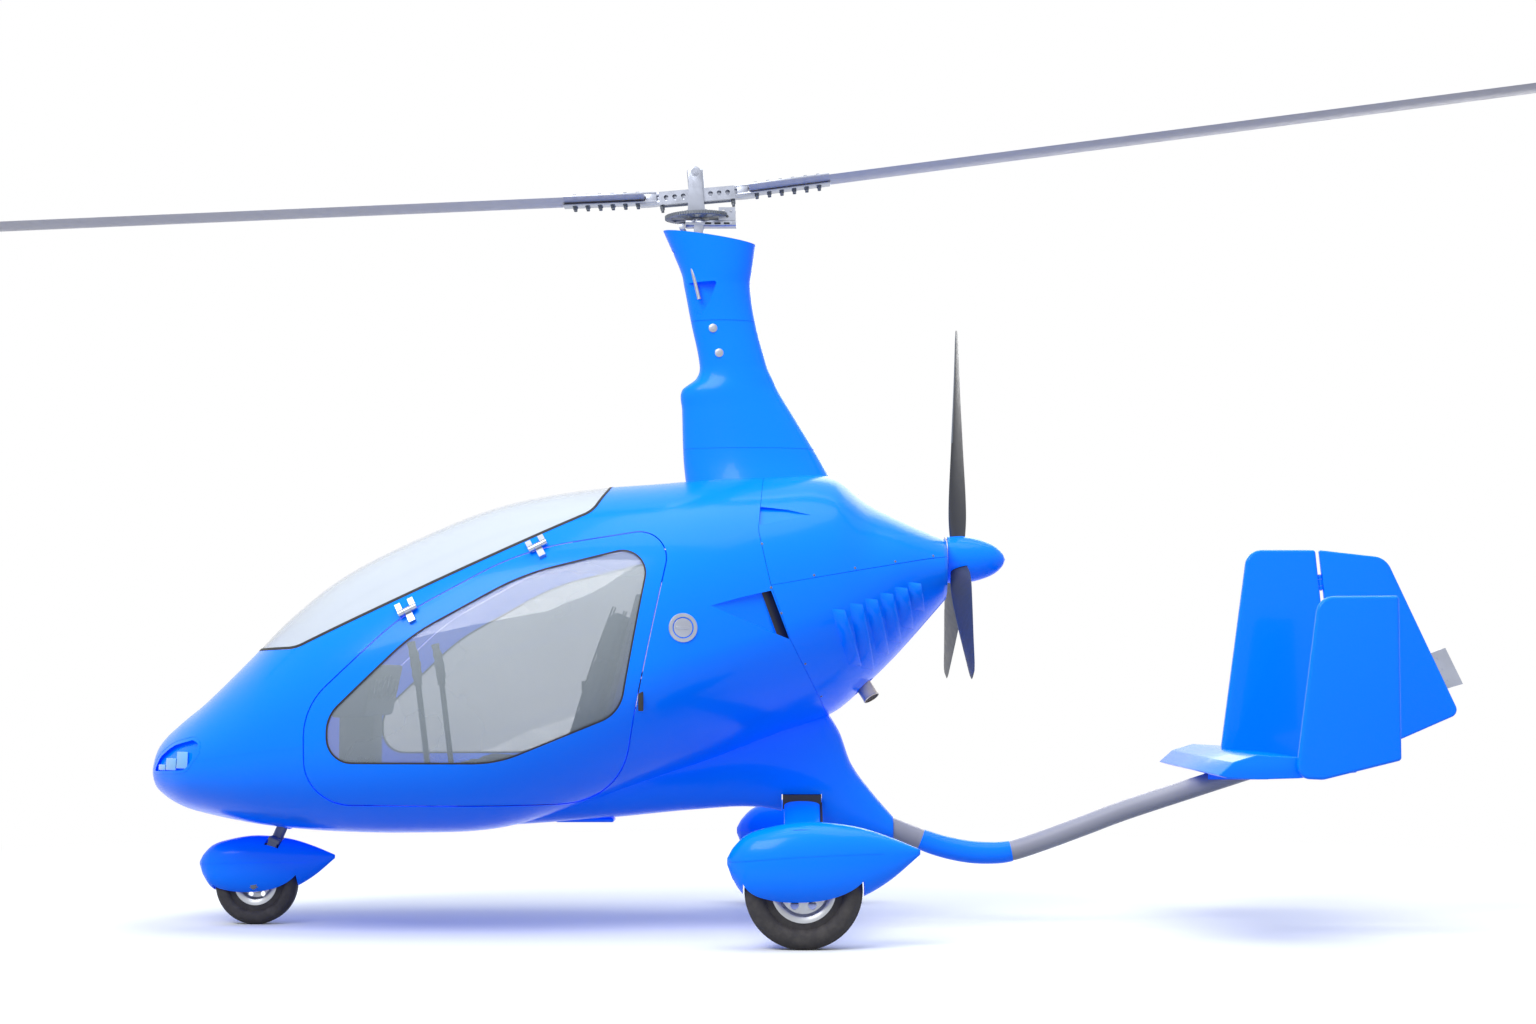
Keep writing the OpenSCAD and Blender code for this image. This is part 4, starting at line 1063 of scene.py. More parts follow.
def spat_loft(x, y0, y1, z0, z1, half, grow=0.0, around=72, along=72):
    def place(u, v):
        _, top, low, wide = row_at(SPAT, station(SPAT, v))
        f = station(SPAT, v)
        zt, zb = z0 + (z1 - z0) * top, z0 + (z1 - z0) * low
        angle = 2 * math.pi * u
        return Vector((x + (half * wide + grow) * signed_pow(math.cos(angle), 0.85),
                       y0 + (y1 - y0) * f + grow * (2 * f - 1),
                       (zt + zb) / 2 + ((zt - zb) / 2 + grow) * signed_pow(math.sin(angle), 0.85)))
    return wrapped(around, along, place)


def spat(name, node, body, box, well, seam, extra=()):
    """A hollow spat: its wheel well, its seam on both sides and any other cuts."""
    x, y0, y1, z0, z1, half = box
    shell = carved(spat_loft(*box), [("DIFFERENCE", spat_loft(*box, grow=-0.004))])
    cutter = carved(spat_loft(*box, grow=0.004), [
        ("DIFFERENCE", spat_loft(*box, grow=-0.0014)),
        ("INTERSECT", seam_strip(seam_line(*seam), x - half - 0.02, x + half + 0.02))])
    shape = carved(shell, [("DIFFERENCE", well), ("DIFFERENCE", cutter)] + list(extra))
    made = piece(name, shape, blue_paint, body, [node])
    shade_from(made, [smooth_source(spat_loft(*box)), smooth_source(spat_loft(*box, grow=-0.004))])
    return made


MAIN_SPAT = (0.157, 0.802, 0.137, 0.421, 0.105)
for side, hand in ((1, "left"), (-1, "right")):
    x = side * main_x
    spat(f"main_spat_{hand}", f"main_spat_{hand}", "airframe", (x, *MAIN_SPAT),
         rod((x - 0.066, main_y, main_z), (x + 0.066, main_y, main_z), 0.203, 96),
         (0.165, 0.290, 0.68, 0.318, 0.008),
         [("DIFFERENCE", cuboid((side * 0.5, 0.338, 0.165), (side * 0.765, 0.486, 0.262)))])
print("main spats done")

# %% [markdown]
# ## Wheels
# A tyre is a profile spun round its axle. Its tread has straight grooves. Inside it sits a cast rim with a deep
# well, round holes, a hub and bolts.

# %% Wheel parts
def spun(profile, x, y, z, segments=96):
    """Spins (distance along the axle, radius) points round an axle through a point."""
    bm = bmesh.new()
    ring = [bm.verts.new((x + a, y, z + r)) for a, r in profile]
    edges = [bm.edges.new(pair) for pair in zip(ring, ring[1:] + ring[:1])]
    bmesh.ops.spin(bm, geom=ring + edges, cent=(x, y, z), axis=(1, 0, 0), angle=2 * math.pi, steps=segments,
                   use_merge=True, use_duplicate=False)
    bmesh.ops.remove_doubles(bm, verts=bm.verts, dist=1e-6)
    bmesh.ops.recalc_face_normals(bm, faces=bm.faces)
    return bm


def tyre_profile(r, w, bead, grooves):
    """Half a tyre section from the bead to the middle of the tread, then its mirror image."""
    half = []
    for k in range(19):
        angle = math.radians(-58 + 148 * k / 18)
        half.append((0.5 * w * signed_pow(math.cos(angle), 0.75), (r + bead) / 2 + 0.012
                     + ((r - bead) / 2 - 0.012) * signed_pow(math.sin(angle), 0.85)))
    half = [(a, min(q, r)) for a, q in half if a > 0.001]
    tread = []
    for g in grooves:
        tread += [(g + 0.003, r), (g + 0.002, r - 0.005), (g - 0.002, r - 0.005), (g - 0.003, r)]
    side = [(0.36 * w, bead)] + half
    side = [p for p in side if p[0] > (max(grooves) + 0.004 if grooves else 0.0) or p[1] < r - 0.004]
    full = side + tread
    return full + [(-a, q) for a, q in reversed(full)]


def rim_profile(bead, w, bore):
    return [(-0.40 * w, bore), (-0.40 * w, bore + 0.018), (-0.12 * w, bore + 0.024), (-0.06 * w, bead - 0.022),
            (-0.30 * w, bead - 0.014), (-0.36 * w, bead - 0.004), (-0.37 * w, bead + 0.006), (-0.34 * w, bead + 0.006),
            (-0.33 * w, bead - 0.0005), (0.33 * w, bead - 0.0005), (0.34 * w, bead + 0.006),
            (0.37 * w, bead + 0.006), (0.36 * w, bead - 0.004), (0.30 * w, bead - 0.014), (0.06 * w, bead - 0.022),
            (0.04 * w, bore + 0.024), (0.40 * w, bore + 0.018), (0.40 * w, bore)]


def wheel(name, body, x, y, z, r, w, bead, bore, grooves, tyre_node, rim_node):
    piece(f"{name}_tyre", spun(tyre_profile(r, w, bead, grooves), x, y, z), tyre_rubber, body,
          [tyre_node], sharp=30)
    holes = []
    for k in range(6):
        angle = math.pi * k / 3
        middle = (bore + bead) / 2 + 0.002
        cy, cz = y + middle * math.cos(angle), z + middle * math.sin(angle)
        holes.append(("DIFFERENCE", rod((x - 0.08, cy, cz), (x + 0.08, cy, cz), (bead - bore) * 0.16, 24)))
    rim = carved(spun(rim_profile(bead, w, bore), x, y, z), holes)
    bolts = []
    for k in range(6):
        angle = math.pi * (k + 0.5) / 3
        cy, cz = y + (bore + 0.016) * math.cos(angle), z + (bore + 0.016) * math.sin(angle)
        for s in (1, -1):
            bolts.append(rod((x + s * 0.3 * w, cy, cz), (x + s * (0.4 * w + 0.003), cy, cz), 0.004, 6))
    piece(f"{name}_rim", gathered(rim, *bolts), wheel_alloy, body, [rim_node], sharp=30)


for side, hand in ((1, "left"), (-1, "right")):
    wheel(f"main_{hand}", f"main_wheel_{hand}", side * main_x, main_y, main_z, 0.197, 0.104, 0.102, 0.0125,
          (0.028, 0.010), f"main_tyre_{hand}", f"main_rim_{hand}")
    cap_x = side * (main_x + 0.052)
    piece(f"main_hub_cap_{hand}", softened(rod((side * 0.893, main_y, main_z), (side * 0.899, main_y, main_z), 0.02, 32),
          0.002), bare_metal, "airframe")
nose_y, nose_z = -1.591, 0.148
wheel("nose", "nose_wheel", 0.0, nose_y, nose_z, 0.148, 0.084, 0.072, 0.0125, (0.020,), "nose_tyre", "nose_rim")
print("wheels done")

# %% [markdown]
# ## Nose leg
# The nose wheel turns in a fork on a raked leg. Its spat turns with it, so it rides on the steering body.

# %% Nose leg and spat
rake = math.radians(23.6)
leg_way = Vector((0, math.sin(rake), math.cos(rake)))
axle = Vector((0, nose_y, nose_z))
fork_turn = Matrix.Translation(axle) @ Matrix.Rotation(-rake, 4, "X")
fork = [rod(axle + leg_way * 0.176, axle + leg_way * 0.322, 0.0199, 48),
        placed(softened(cuboid((-0.058, -0.022, 0.164), (0.058, 0.022, 0.184)), 0.006, 3), fork_turn),
        rod(axle - Vector((0.070, 0, 0)), axle + Vector((0.070, 0, 0)), 0.012, 32)]
for s in (-1, 1):
    fork.append(placed(softened(cuboid((s * 0.053 - 0.005, -0.018, -0.018), (s * 0.053 + 0.005, 0.018, 0.172)),
                                0.004, 3), fork_turn))
    fork.append(rod(axle + Vector((s * 0.058, 0, 0)), axle + Vector((s * 0.066, 0, 0)), 0.019, 6))
piece("nose_fork", gathered(*fork), grey_metal, "nose_steering", ["nose_fork"])
collar = [softened(rod(axle + leg_way * s0, axle + leg_way * s1, r, 48), 0.003)
          for s0, s1, r in ((0.228, 0.330, 0.031), (0.232, 0.246, 0.036), (0.27, 0.28, 0.034))]
piece("nose_leg_housing", carved(collar[0], [("UNION", collar[1]), ("UNION", collar[2]),
      ("DIFFERENCE", rod(axle + leg_way * 0.2, axle + leg_way * 0.4, 0.0202, 48))]),
      blue_paint, "airframe", ["nose_leg_housing"])
slot_cut = placed(cuboid((-0.060, -0.026, 0.0), (0.060, 0.026, 0.26)), fork_turn)
spat("nose_spat", "nose_spat", "nose_steering", (0.0, -1.802, -1.306, 0.104, 0.322, 0.083),
     rod((-0.050, nose_y, nose_z), (0.050, nose_y, nose_z), 0.154, 96), (-1.79, 0.220, -1.40, 0.226, 0.006),
     [("DIFFERENCE", slot_cut)])
print("nose leg done")

# %% [markdown]
# ## Tail
# The tail sits on a bent tube. A flat tailplane carries two outer fins, and the tall centre fin carries the
# rudder on three hinges. Their front edges are well rounded, and a small bent plate trims the rudder.

# %% Tail tube and fins
FIN_T = 0.034


def smooth_path(points, steps=10):
    """A curve through points, each span in small steps."""
    p = [Vector(q) for q in points]
    p = [2 * p[0] - p[1]] + p + [2 * p[-1] - p[-2]]
    out = []
    for a, b, c, d in zip(p, p[1:], p[2:], p[3:]):
        for t in [k / steps for k in range(steps)]:
            out.append(0.5 * (2 * b + (c - a) * t + (2 * a - 5 * b + 4 * c - d) * t * t + (3 * b - a - 3 * c + d) * t**3))
    return out + [p[-2]]


def tail_line(low, high):
    """The part of the tail tube's middle line between two values of y."""
    path = smooth_path([(0, y, z) for y, z in KEEL_TUBE])
    return [q for q in path if low <= q.y <= high]


boom = tube(tail_line(0, 3), 0.036, 40, 120)
piece("keel_tube", boom, tube_grey, "airframe", ["keel_tube"], sharp=40)
sleeve = tube(tail_line(0.845, 1.190), lambda v: 0.0375 + 0.0035 * math.sin(math.pi * min(max(v, 0), 1)) ** 0.5, 40, 60)
piece("keel_sleeve", sleeve, blue_paint, "airframe", sharp=40)

TAILPLANE = [(1.828, 0.570), (1.880, 0.616), (1.960, 0.640), (2.100, 0.632), (2.300, 0.590), (2.300, 0.580),
             (2.100, 0.560), (1.960, 0.556), (1.860, 0.560)]
plane = softened(prism(TAILPLANE, -0.683, 0.683), 0.006, 3, 18)
boom_cut = tube([(0, 1.56, 0.404), (0, 2.130, 0.588)], 0.0365, 40, 8)
piece("tailplane", carved(plane, [("DIFFERENCE", boom_cut)]), blue_paint, "airframe",
      ["tailplane"], sharp=30)
saddle = [softened(cuboid((x - 0.004, 1.90, 0.530), (x + 0.004, 2.12, 0.566)), 0.002) for x in (-0.041, 0.041)]
piece("tail_saddle", gathered(*saddle), blue_paint, "airframe")


def outer_fin_outline():
    return rounded([(2085, 560, 45), (2172, 1180, 60), (2446, 1182, 12), (2446, 622, 14), (2180, 556, 60)])


for side, hand in ((1, "left"), (-1, "right")):
    x = side * 0.700
    piece(f"outer_fin_{hand}", softened(prism(outer_fin_outline(), x - FIN_T / 2, x + FIN_T / 2), 0.011, 5, 60),
          blue_paint, "airframe", [f"outer_fin_{hand}"], sharp=50)

hinge_low, hinge_top = Vector((0, 2.395, 0.556)), Vector((0, 2.317, 1.373))
hinge_way = (hinge_top - hinge_low).normalized()
HINGES_UP = (0.150, 0.420, 0.700)


def hinge_y(z):
    return (2.395 + (2.317 - 2.395) * (z - 0.556) / (1.373 - 0.556)) * 1000


def knuckles(runs, r):
    return [rod(hinge_low + hinge_way * a, hinge_low + hinge_way * b, r, 32) for a, b in runs]


fin_outline = rounded([(1960, 600, 20), (1956, 650, 20), (2060, 1373, 60), (hinge_y(1.373) - 7, 1373, 0),
                       (hinge_y(0.59) - 7, 585, 0)])
fin = softened(prism(fin_outline, -FIN_T / 2, FIN_T / 2), 0.010, 5, 60)
fin = carved(fin, [("DIFFERENCE", k) for k in knuckles([(h - 0.017, h + 0.017) for h in HINGES_UP], 0.014)]
             + [("UNION", k) for k in knuckles([(h - 0.027, h - 0.013) for h in HINGES_UP]
                                               + [(h + 0.013, h + 0.027) for h in HINGES_UP], 0.009)])
piece("centre_fin", fin, blue_paint, "airframe", ["centre_fin"], sharp=40)
rudder_outline = rounded([(hinge_y(1.373) + 7, 1373, 0), (2570, 1345, 75), (2832, 770, 30), (2625, 680, 60),
                          (hinge_y(0.59) + 7, 590, 0)])
blade = softened(prism(rudder_outline, -0.015, 0.015), 0.008, 4, 60)
blade = carved(blade, [("DIFFERENCE", k) for k in knuckles([(h - 0.032, h - 0.008) for h in HINGES_UP]
                                                           + [(h + 0.008, h + 0.032) for h in HINGES_UP], 0.014)]
               + [("UNION", k) for k in knuckles([(h - 0.012, h + 0.012) for h in HINGES_UP], 0.009)]
               + [("DIFFERENCE", rod(hinge_low, hinge_top + hinge_way * 0.02, 0.0051, 24))])
piece("rudder", blade, blue_paint, "rudder", ["rudder"], sharp=40)
pins = knuckles([(h - 0.03, h + 0.03) for h in HINGES_UP], 0.0048)
piece("rudder_hinge_pins", gathered(*pins), bare_metal, "airframe")


def rudder_edge(z):
    return 2.570 + (1.345 - z) * (2.832 - 2.570) / (1.345 - 0.770)


tab = prism([(rudder_edge(0.986) - 0.02, 0.986), (2.786, 1.012), (2.849, 0.879), (rudder_edge(0.857) - 0.02, 0.857)],
            -0.0015, 0.0015)
rivets = [rod((-0.004, rudder_edge(z) + 0.012, z + 0.012), (0.004, rudder_edge(z) + 0.012, z + 0.012), 0.003, 12)
          for z in (0.88, 0.92, 0.96)]
piece("trim_tab", gathered(softened(tab, 0.0006, 1), *rivets), bare_metal, "rudder", ["trim_tab"])
print("tail done")

# %% [markdown]
# ## Propeller
# Three twisted composite blades leave a painted spinner. The leading edge of each carries a paler guard strip.

# %% Propeller
PROP = [
    # fraction of the radius, chord and thickness in millimetres, blade angle
    (0.08, 62, 40, 62), (0.20, 92, 26, 48), (0.40, 108, 18, 32), (0.60, 100, 13, 24), (0.80, 80, 9, 18),
    (0.95, 56, 6, 15), (1.00, 36, 4, 14)]
prop_middle, PROP_R = Vector((0, 0.990, 1.338)), 0.851


def prop_blade(turn, low=0.0, high=1.0, grow=0.0, first=0.0, last=1.0):
    """One blade, or the strip of it between two fractions of the way round its section."""
    spin = Matrix.Translation(prop_middle) @ Matrix.Rotation(turn, 4, "Y")

    def place(u, v):
        _, chord, thick, pitch = row_at(PROP, station(PROP, low + (high - low) * v))
        f = station(PROP, low + (high - low) * v)
        a, pitch = 2 * math.pi * (first + (last - first) * u), math.radians(pitch)
        lead = math.cos(a)
        cu = (chord / 2 * MM + grow) * lead
        cv = (thick / 2 * MM * (0.62 + 0.38 * lead) + grow) * math.sin(a)
        return spin @ Vector((cu * math.cos(pitch) - cv * math.sin(pitch),
                              -cu * math.sin(pitch) - cv * math.cos(pitch), PROP_R * f))
    return wrapped(28, 80, place)


SPINNER = [(0, 0), (86, 0), (87.5, 20), (88, 40), (84, 80), (72, 130), (52, 175), (24, 205), (0, 215)]


def spinner_shape(grow=0.0, steps=60):
    """The spinner, spun round the propeller's axis."""
    def place(u, v):
        d = 0.215 * (1 - (1 - v) ** 1.6)
        r = row_at([(p[1], p[0]) for p in SPINNER[1:]], d / MM)[1] * MM if v < 1 else 0.0004
        a = 2 * math.pi * u
        return Vector(((r + grow) * math.sin(a), 0.950 + d, 1.338 + (r + grow) * math.cos(a)))
    return wrapped(72, steps, place)


roots = [("DIFFERENCE", prop_blade(math.radians(120 * k), 0.0, 0.5, 0.0022)) for k in range(3)]
hub = piece("propeller_hub", carved(spinner_shape(), roots), blue_paint, "propeller", ["propeller_hub"])
flange = [softened(rod((0, 0.900, 1.338), (0, 0.949, 1.338), 0.045, 48), 0.003),
          softened(rod((0, 0.941, 1.338), (0, 0.9495, 1.338), 0.084, 64), 0.0015),
          rod((0, 0.790, 1.338), (0, 0.950, 1.338), 0.0199, 32)]
for k in range(6):
    a = math.radians(60 * k)
    flange.append(rod((0.034 * math.sin(a), 0.892, 1.338 + 0.034 * math.cos(a)),
                      (0.034 * math.sin(a), 0.902, 1.338 + 0.034 * math.cos(a)), 0.006, 6))
piece("propeller_flange", gathered(*flange), bare_metal, "propeller")
inside = [("DIFFERENCE", spinner_shape(0.0))]
blades = [carved(prop_blade(math.radians(120 * k)), [("DIFFERENCE", spinner_shape(-0.012))]) for k in range(3)]
piece("propeller_blades", gathered(*blades), dark_composite, "propeller",
      ["propeller_blades"], sharp=50)
guards = [prop_blade(math.radians(120 * k), 0.42, 0.98, 0.0007, -0.07, 0.07) for k in range(3)]
piece("blade_edge_guards", gathered(*guards), grey_metal, "propeller", sharp=60)
print("propeller done")

# %% [markdown]
# ## Rotor head
# The head rolls and pitches on a gimbal. Its shaft carries a ring gear and a tapered tower with the teeter bolt,
# and the hub bar swings on that bolt. Two bolted plates clamp each blade, with the nuts underneath.

# %% Rotor head
shaft = Matrix.Translation((0, 0.01565, 2.781)) @ Matrix.Rotation(math.radians(2.3), 4, "X")
rotor = shaft @ Matrix.Rotation(math.radians(2.6), 4, "X")
arm = [rotor @ Matrix.Rotation(math.pi * k, 4, "Z") @ Matrix.Translation((0, 0, -0.085))
       @ Matrix.Rotation(math.radians(2.5), 4, "X") for k in (0, 1)]

gear = rod((0, 0, -0.168), (0, 0, -0.156), 0.1165, 96)
holes = []
for k in range(10):
    a = math.radians(36 * k)
    outer = [Vector((math.cos(a + t) * 0.098, math.sin(a + t) * 0.098, h)) for t in (-0.22, -0.1, 0.1, 0.22)
             for h in (-0.18, -0.14)]
    inner = [Vector((math.cos(a + t) * 0.048, math.sin(a + t) * 0.048, h)) for t in (-0.14, 0.14)
             for h in (-0.18, -0.14)]
    holes.append(("DIFFERENCE", hull_of(outer + inner)))
gear = carved(gear, holes)
teeth = []
for k in range(72):
    a = math.radians(5 * k)
    tooth = cuboid((0.1145, -0.0022, -0.168), (0.1200, 0.0022, -0.156))
    teeth.append(placed(tooth, Matrix.Rotation(a, 4, "Z")))
piece("ring_gear", placed(gathered(gear, *teeth), shaft), grey_metal, "rotor_spin", sharp=30)
tower = []
for s in (1, -1):
    x0, x1 = s * 0.0365, s * 0.048
    lower = [Vector((x, y, -0.158)) for x in (x0, x1) for y in (-0.033, 0.033)]
    upper = [Vector((x, 0.0215 * math.cos(t), 0.0215 * math.sin(t)))
             for x in (x0, x1) for t in [math.radians(15 * k) for k in range(-1, 14)]]
    tower.append(softened(hull_of(lower + upper), 0.0025, 3, 25))
    tower += [rod((s * 0.048, 0, 0), (s * 0.0505, 0, 0), 0.0145, 40), rod((s * 0.0505, 0, 0), (s * 0.0535, 0, 0), 0.0105, 6),
              rod((s * 0.0535, 0, 0), (s * 0.0550, 0, 0), 0.0055, 24)]
tower += [rod((-0.0505, 0, 0), (0.0505, 0, 0), 0.0078, 32), rod((0, 0, -0.198), (0, 0, -0.150), 0.0199, 40),
          softened(rod((0, 0, -0.157), (0, 0, -0.138), 0.047, 48), 0.003)]
piece("rotor_tower", placed(gathered(*tower), shaft), bare_metal, "rotor_spin", ["rotor_tower"])

hub_parts = [softened(cuboid((-0.030, -0.030, -0.099), (0.030, 0.030, 0.014)), 0.006, 3)]
hub_parts[0] = carved(hub_parts[0], [("DIFFERENCE", rod((-0.05, 0, 0), (0.05, 0, 0), 0.0081, 32))])
for low, high in ((-0.0735, -0.0615), (-0.1045, -0.0925)):
    hub_parts.append(softened(cuboid((-0.029, -0.215, low), (0.029, 0.215, high)), 0.0015))
hub_parts.append(softened(cuboid((-0.020, -0.150, -0.0935), (0.020, 0.150, -0.0725)), 0.001))
for k in (-1, 1):
    hub_parts.append(softened(cuboid((-0.030, k * 0.171 - 0.021, -0.1055), (0.030, k * 0.171 + 0.021, -0.0585)), 0.003))
for s in (1, -1):
    plate = cuboid((s * 0.0300, -0.141, -0.1095), (s * 0.0340, 0.141, -0.0605))
    windows = []
    for y in (-0.115, -0.083, -0.051, 0.051, 0.083, 0.115):
        tri = [Vector((x, y + 0.009 * math.cos(t), -0.0835 + 0.009 * math.sin(t))) for x in (s * 0.02, s * 0.05)
               for t in [math.radians(20 * n) for n in range(10)]]
        tri += [Vector((x, y, -0.099)) for x in (s * 0.02, s * 0.05)]
        windows.append(("DIFFERENCE", hull_of(tri)))
    hub_parts.append(carved(plate, windows))
piece("hub_bar", placed(gathered(*hub_parts), rotor), bare_metal, "rotor_teeter", ["hub_bar"])

clamps, nuts = [], []
for frame_of_arm in arm:
    for low, high in ((0.0121, 0.0200), (-0.0200, -0.0121)):
        plate = softened(cuboid((-0.032, 0.150, low), (0.032, 0.500, high)), 0.0025)
        clamps.append(placed(plate, frame_of_arm))
    for n in range(6):
        y = 0.222 + 0.047 * n
        for x in (-0.017, 0.017):
            clamps.append(placed(rod((x, y, 0.0198), (x, y, 0.0245), 0.0065, 6), frame_of_arm))
            nuts.append(placed(rod((x, y, -0.0235), (x, y, -0.0198), 0.0090, 24), frame_of_arm))
            nuts.append(placed(softened(rod((x, y, -0.0340), (x, y, -0.0235), 0.0068, 6), 0.001), frame_of_arm))
for k in (-1, 1):
    for x in (-0.016, 0.016):
        nuts.append(placed(rod((x, k * 0.133, -0.122), (x, k * 0.133, -0.1095), 0.008, 6), rotor))
        nuts.append(placed(rod((x, k * 0.133, -0.131), (x, k * 0.133, -0.122), 0.0055, 16), rotor))
piece("blade_clamps", gathered(*clamps), bare_metal, "rotor_teeter")
piece("blade_nuts", gathered(*nuts), grey_metal, "rotor_teeter")

gimbal = [softened(cuboid((-0.020, -0.034, 2.505), (0.020, 0.096, 2.540)), 0.003),
          softened(cuboid((-0.020, 0.012, 2.530), (0.020, 0.048, 2.572)), 0.003)]
gimbal = carved(gimbal[0], [("UNION", gimbal[1]), ("UNION", rod((-0.036, 0.030, 2.556), (0.036, 0.030, 2.556), 0.0079)),
                            ("DIFFERENCE", rod((0, -0.1, 2.520), (0, 0.2, 2.520), 0.00805))])
piece("gimbal_block", gimbal, bare_metal, "rotor_roll", ["gimbal_block"])

block = softened(cuboid((-0.038, -0.020, 2.582), (0.038, 0.170, 2.600)), 0.003)
bearing = placed(softened(rod((0, 0, -0.195), (0, 0, -0.175), 0.034, 48), 0.002), shaft)
cuts = [("UNION", bearing)]
for s in (-1, 1):
    cuts.append(("UNION", softened(cuboid((s * 0.031 - 0.006, 0.012, 2.538), (s * 0.031 + 0.006, 0.048, 2.590)), 0.002)))
cuts += [("DIFFERENCE", rod((-0.1, 0.030, 2.556), (0.1, 0.030, 2.556), 0.00805)),
         ("DIFFERENCE", placed(rod((0, 0, -0.230), (0, 0, -0.130), 0.02005, 40), shaft))]
head_parts = [carved(block, cuts)]
for s in (-1, 1):
    bracket = cuboid((s * 0.034, 0.104, 2.600), (s * 0.038, 0.166, 2.650))
    bracket = carved(bracket, [("DIFFERENCE", rod((s * 0.02, y, z), (s * 0.05, y, z), r, 24))
                               for y, z, r in ((0.122, 2.634, 0.007), (0.150, 2.634, 0.005), (0.136, 2.616, 0.006))])
    head_parts.append(bracket)
    head_parts.append(rod((s * 0.038, 0.150, 2.591), (s * 0.044, 0.150, 2.591), 0.006, 6))
    head_parts.append(rod((s * 0.037, 0.030, 2.556), (s * 0.042, 0.030, 2.556), 0.010, 6))
piece("head_block", gathered(*head_parts), bare_metal, "rotor_pitch", ["head_block"])
# Matt black bars on the block's sides stand in for its three slots: painted shade.
slot_shades = [softened(cuboid((-0.0395, y - 0.012, 2.5855), (0.0395, y + 0.012, 2.5935)), 0.002) for y in (0.065, 0.10, 0.135)]
piece("head_block_slot_shades", gathered(*slot_shades), matt_black, "rotor_pitch")
print("rotor head done")

# %% [markdown]
# ## Rotor blades
# Each blade is a drawn aluminium section, flat underneath and rounded above, with a cap at its tip.

# %% Rotor blades
def blade_section(u):
    """A point round the aerofoil section, as fractions of chord and of thickness."""
    a = 2 * math.pi * u
    x = 0.5 * math.cos(a)
    share = 0.5 + x
    thick = 1.9 * (math.sqrt(max(1 - share, 0.0)) * 0.78 - 0.22 * (1 - share) ** 2 - 0.0) * min(share * 1.35 + 0.05, 1)
    return -x * -1.0, 0.5 * signed_pow(math.sin(a), 0.9) * min(thick, 1.0)


def rotor_blade(frame_of_arm, low, high, grow=0.0):
    def place(u, v):
        x, t = blade_section(u)
        return frame_of_arm @ Vector((x * (0.200 + 2 * grow) , low + (high - low) * v, t * (0.024 + 2 * grow)))
    return wrapped(48, 60, place)


piece("rotor_blades", gathered(*[rotor_blade(a, 0.196, 4.192) for a in arm]), blade_metal, "rotor_teeter",
      ["rotor_blades"], sharp=40)
piece("blade_tips", gathered(*[rotor_blade(a, 4.188, 4.199, 0.0006) for a in arm]), dark_composite, "rotor_teeter",
      sharp=40)
print("rotor blades done")

# %% [markdown]
# ## Small fittings outside
# The exhaust stub, the ring round the fuel filler, the door handles, and the recess with its stepped lamps.

# %% Fittings
pipe_a, pipe_b = Vector((0.0, 0.560, 1.000)), Vector((0.060, 0.668, 0.826))
pipe_way = (pipe_b - pipe_a).normalized()
pipe = carved(rod(pipe_a + pipe_way * 0.012, pipe_b, 0.030, 48), [("DIFFERENCE", rod(pipe_b - pipe_way * 0.12,
              pipe_b + pipe_way * 0.02, 0.0270, 48))])
lip = carved(softened(rod(pipe_b - pipe_way * 0.006, pipe_b, 0.0312, 48), 0.0012),
             [("DIFFERENCE", rod(pipe_b - pipe_way * 0.12, pipe_b + pipe_way * 0.02, 0.0270, 48))])
piece("exhaust_pipe", gathered(pipe, lip), exhaust_steel, "airframe", ["exhaust_pipe"])


def on_skin(y, z):
    """A frame on the left skin: its Z axis points straight out and its X axis runs aft."""
    d = 0.004
    out = Vector((1, -(skin_x(y + d, z) - skin_x(y - d, z)) / (2 * d), -(skin_x(y, z + d) - skin_x(y, z - d)) / (2 * d)))
    out.normalize()
    aft = (Vector((0, 1, 0)) - out * out.y).normalized()
    turn = Matrix((aft, out.cross(aft), out)).transposed().to_4x4()
    return Matrix.Translation((skin_x(y, z), y, z)) @ turn


cap = [carved(softened(rod((0, 0, -0.022), (0, 0, 0.003), 0.0505, 64), 0.002),
              [("DIFFERENCE", rod((0, 0, -0.005), (0, 0, 0.01), 0.037, 64))]),
       softened(rod((0, 0, -0.012), (0, 0, 0.0022), 0.0335, 64), 0.002),
       softened(cuboid((-0.026, -0.005, 0), (0.026, 0.005, 0.0065)), 0.002)]
piece("fuel_cap", placed(gathered(*cap), on_skin(0.0, 1.074)), bare_metal, "airframe", ["fuel_cap"])
for side, hand in ((1, "left"), (-1, "right")):
    x = skin_x(-0.144, 0.843)
    handle = [softened(cuboid((x - 0.010, -0.153, 0.788), (x + 0.003, -0.135, 0.898)), 0.003),
              softened(rod((x - 0.01, -0.144, 0.915), (x + 0.0025, -0.144, 0.915), 0.009, 32), 0.001)]
    handle = gathered(*handle)
    piece(f"door_handle_{hand}", handle if side > 0 else mirrored_x(handle), matt_black, f"door_{hand}")
print("fittings done")

# %% [markdown]
# ## The other surfaces
# What keeps its plain shape gets its own finish: the mast post, the bulkhead, the floor, the engine, the pedals
# and the door hinges.

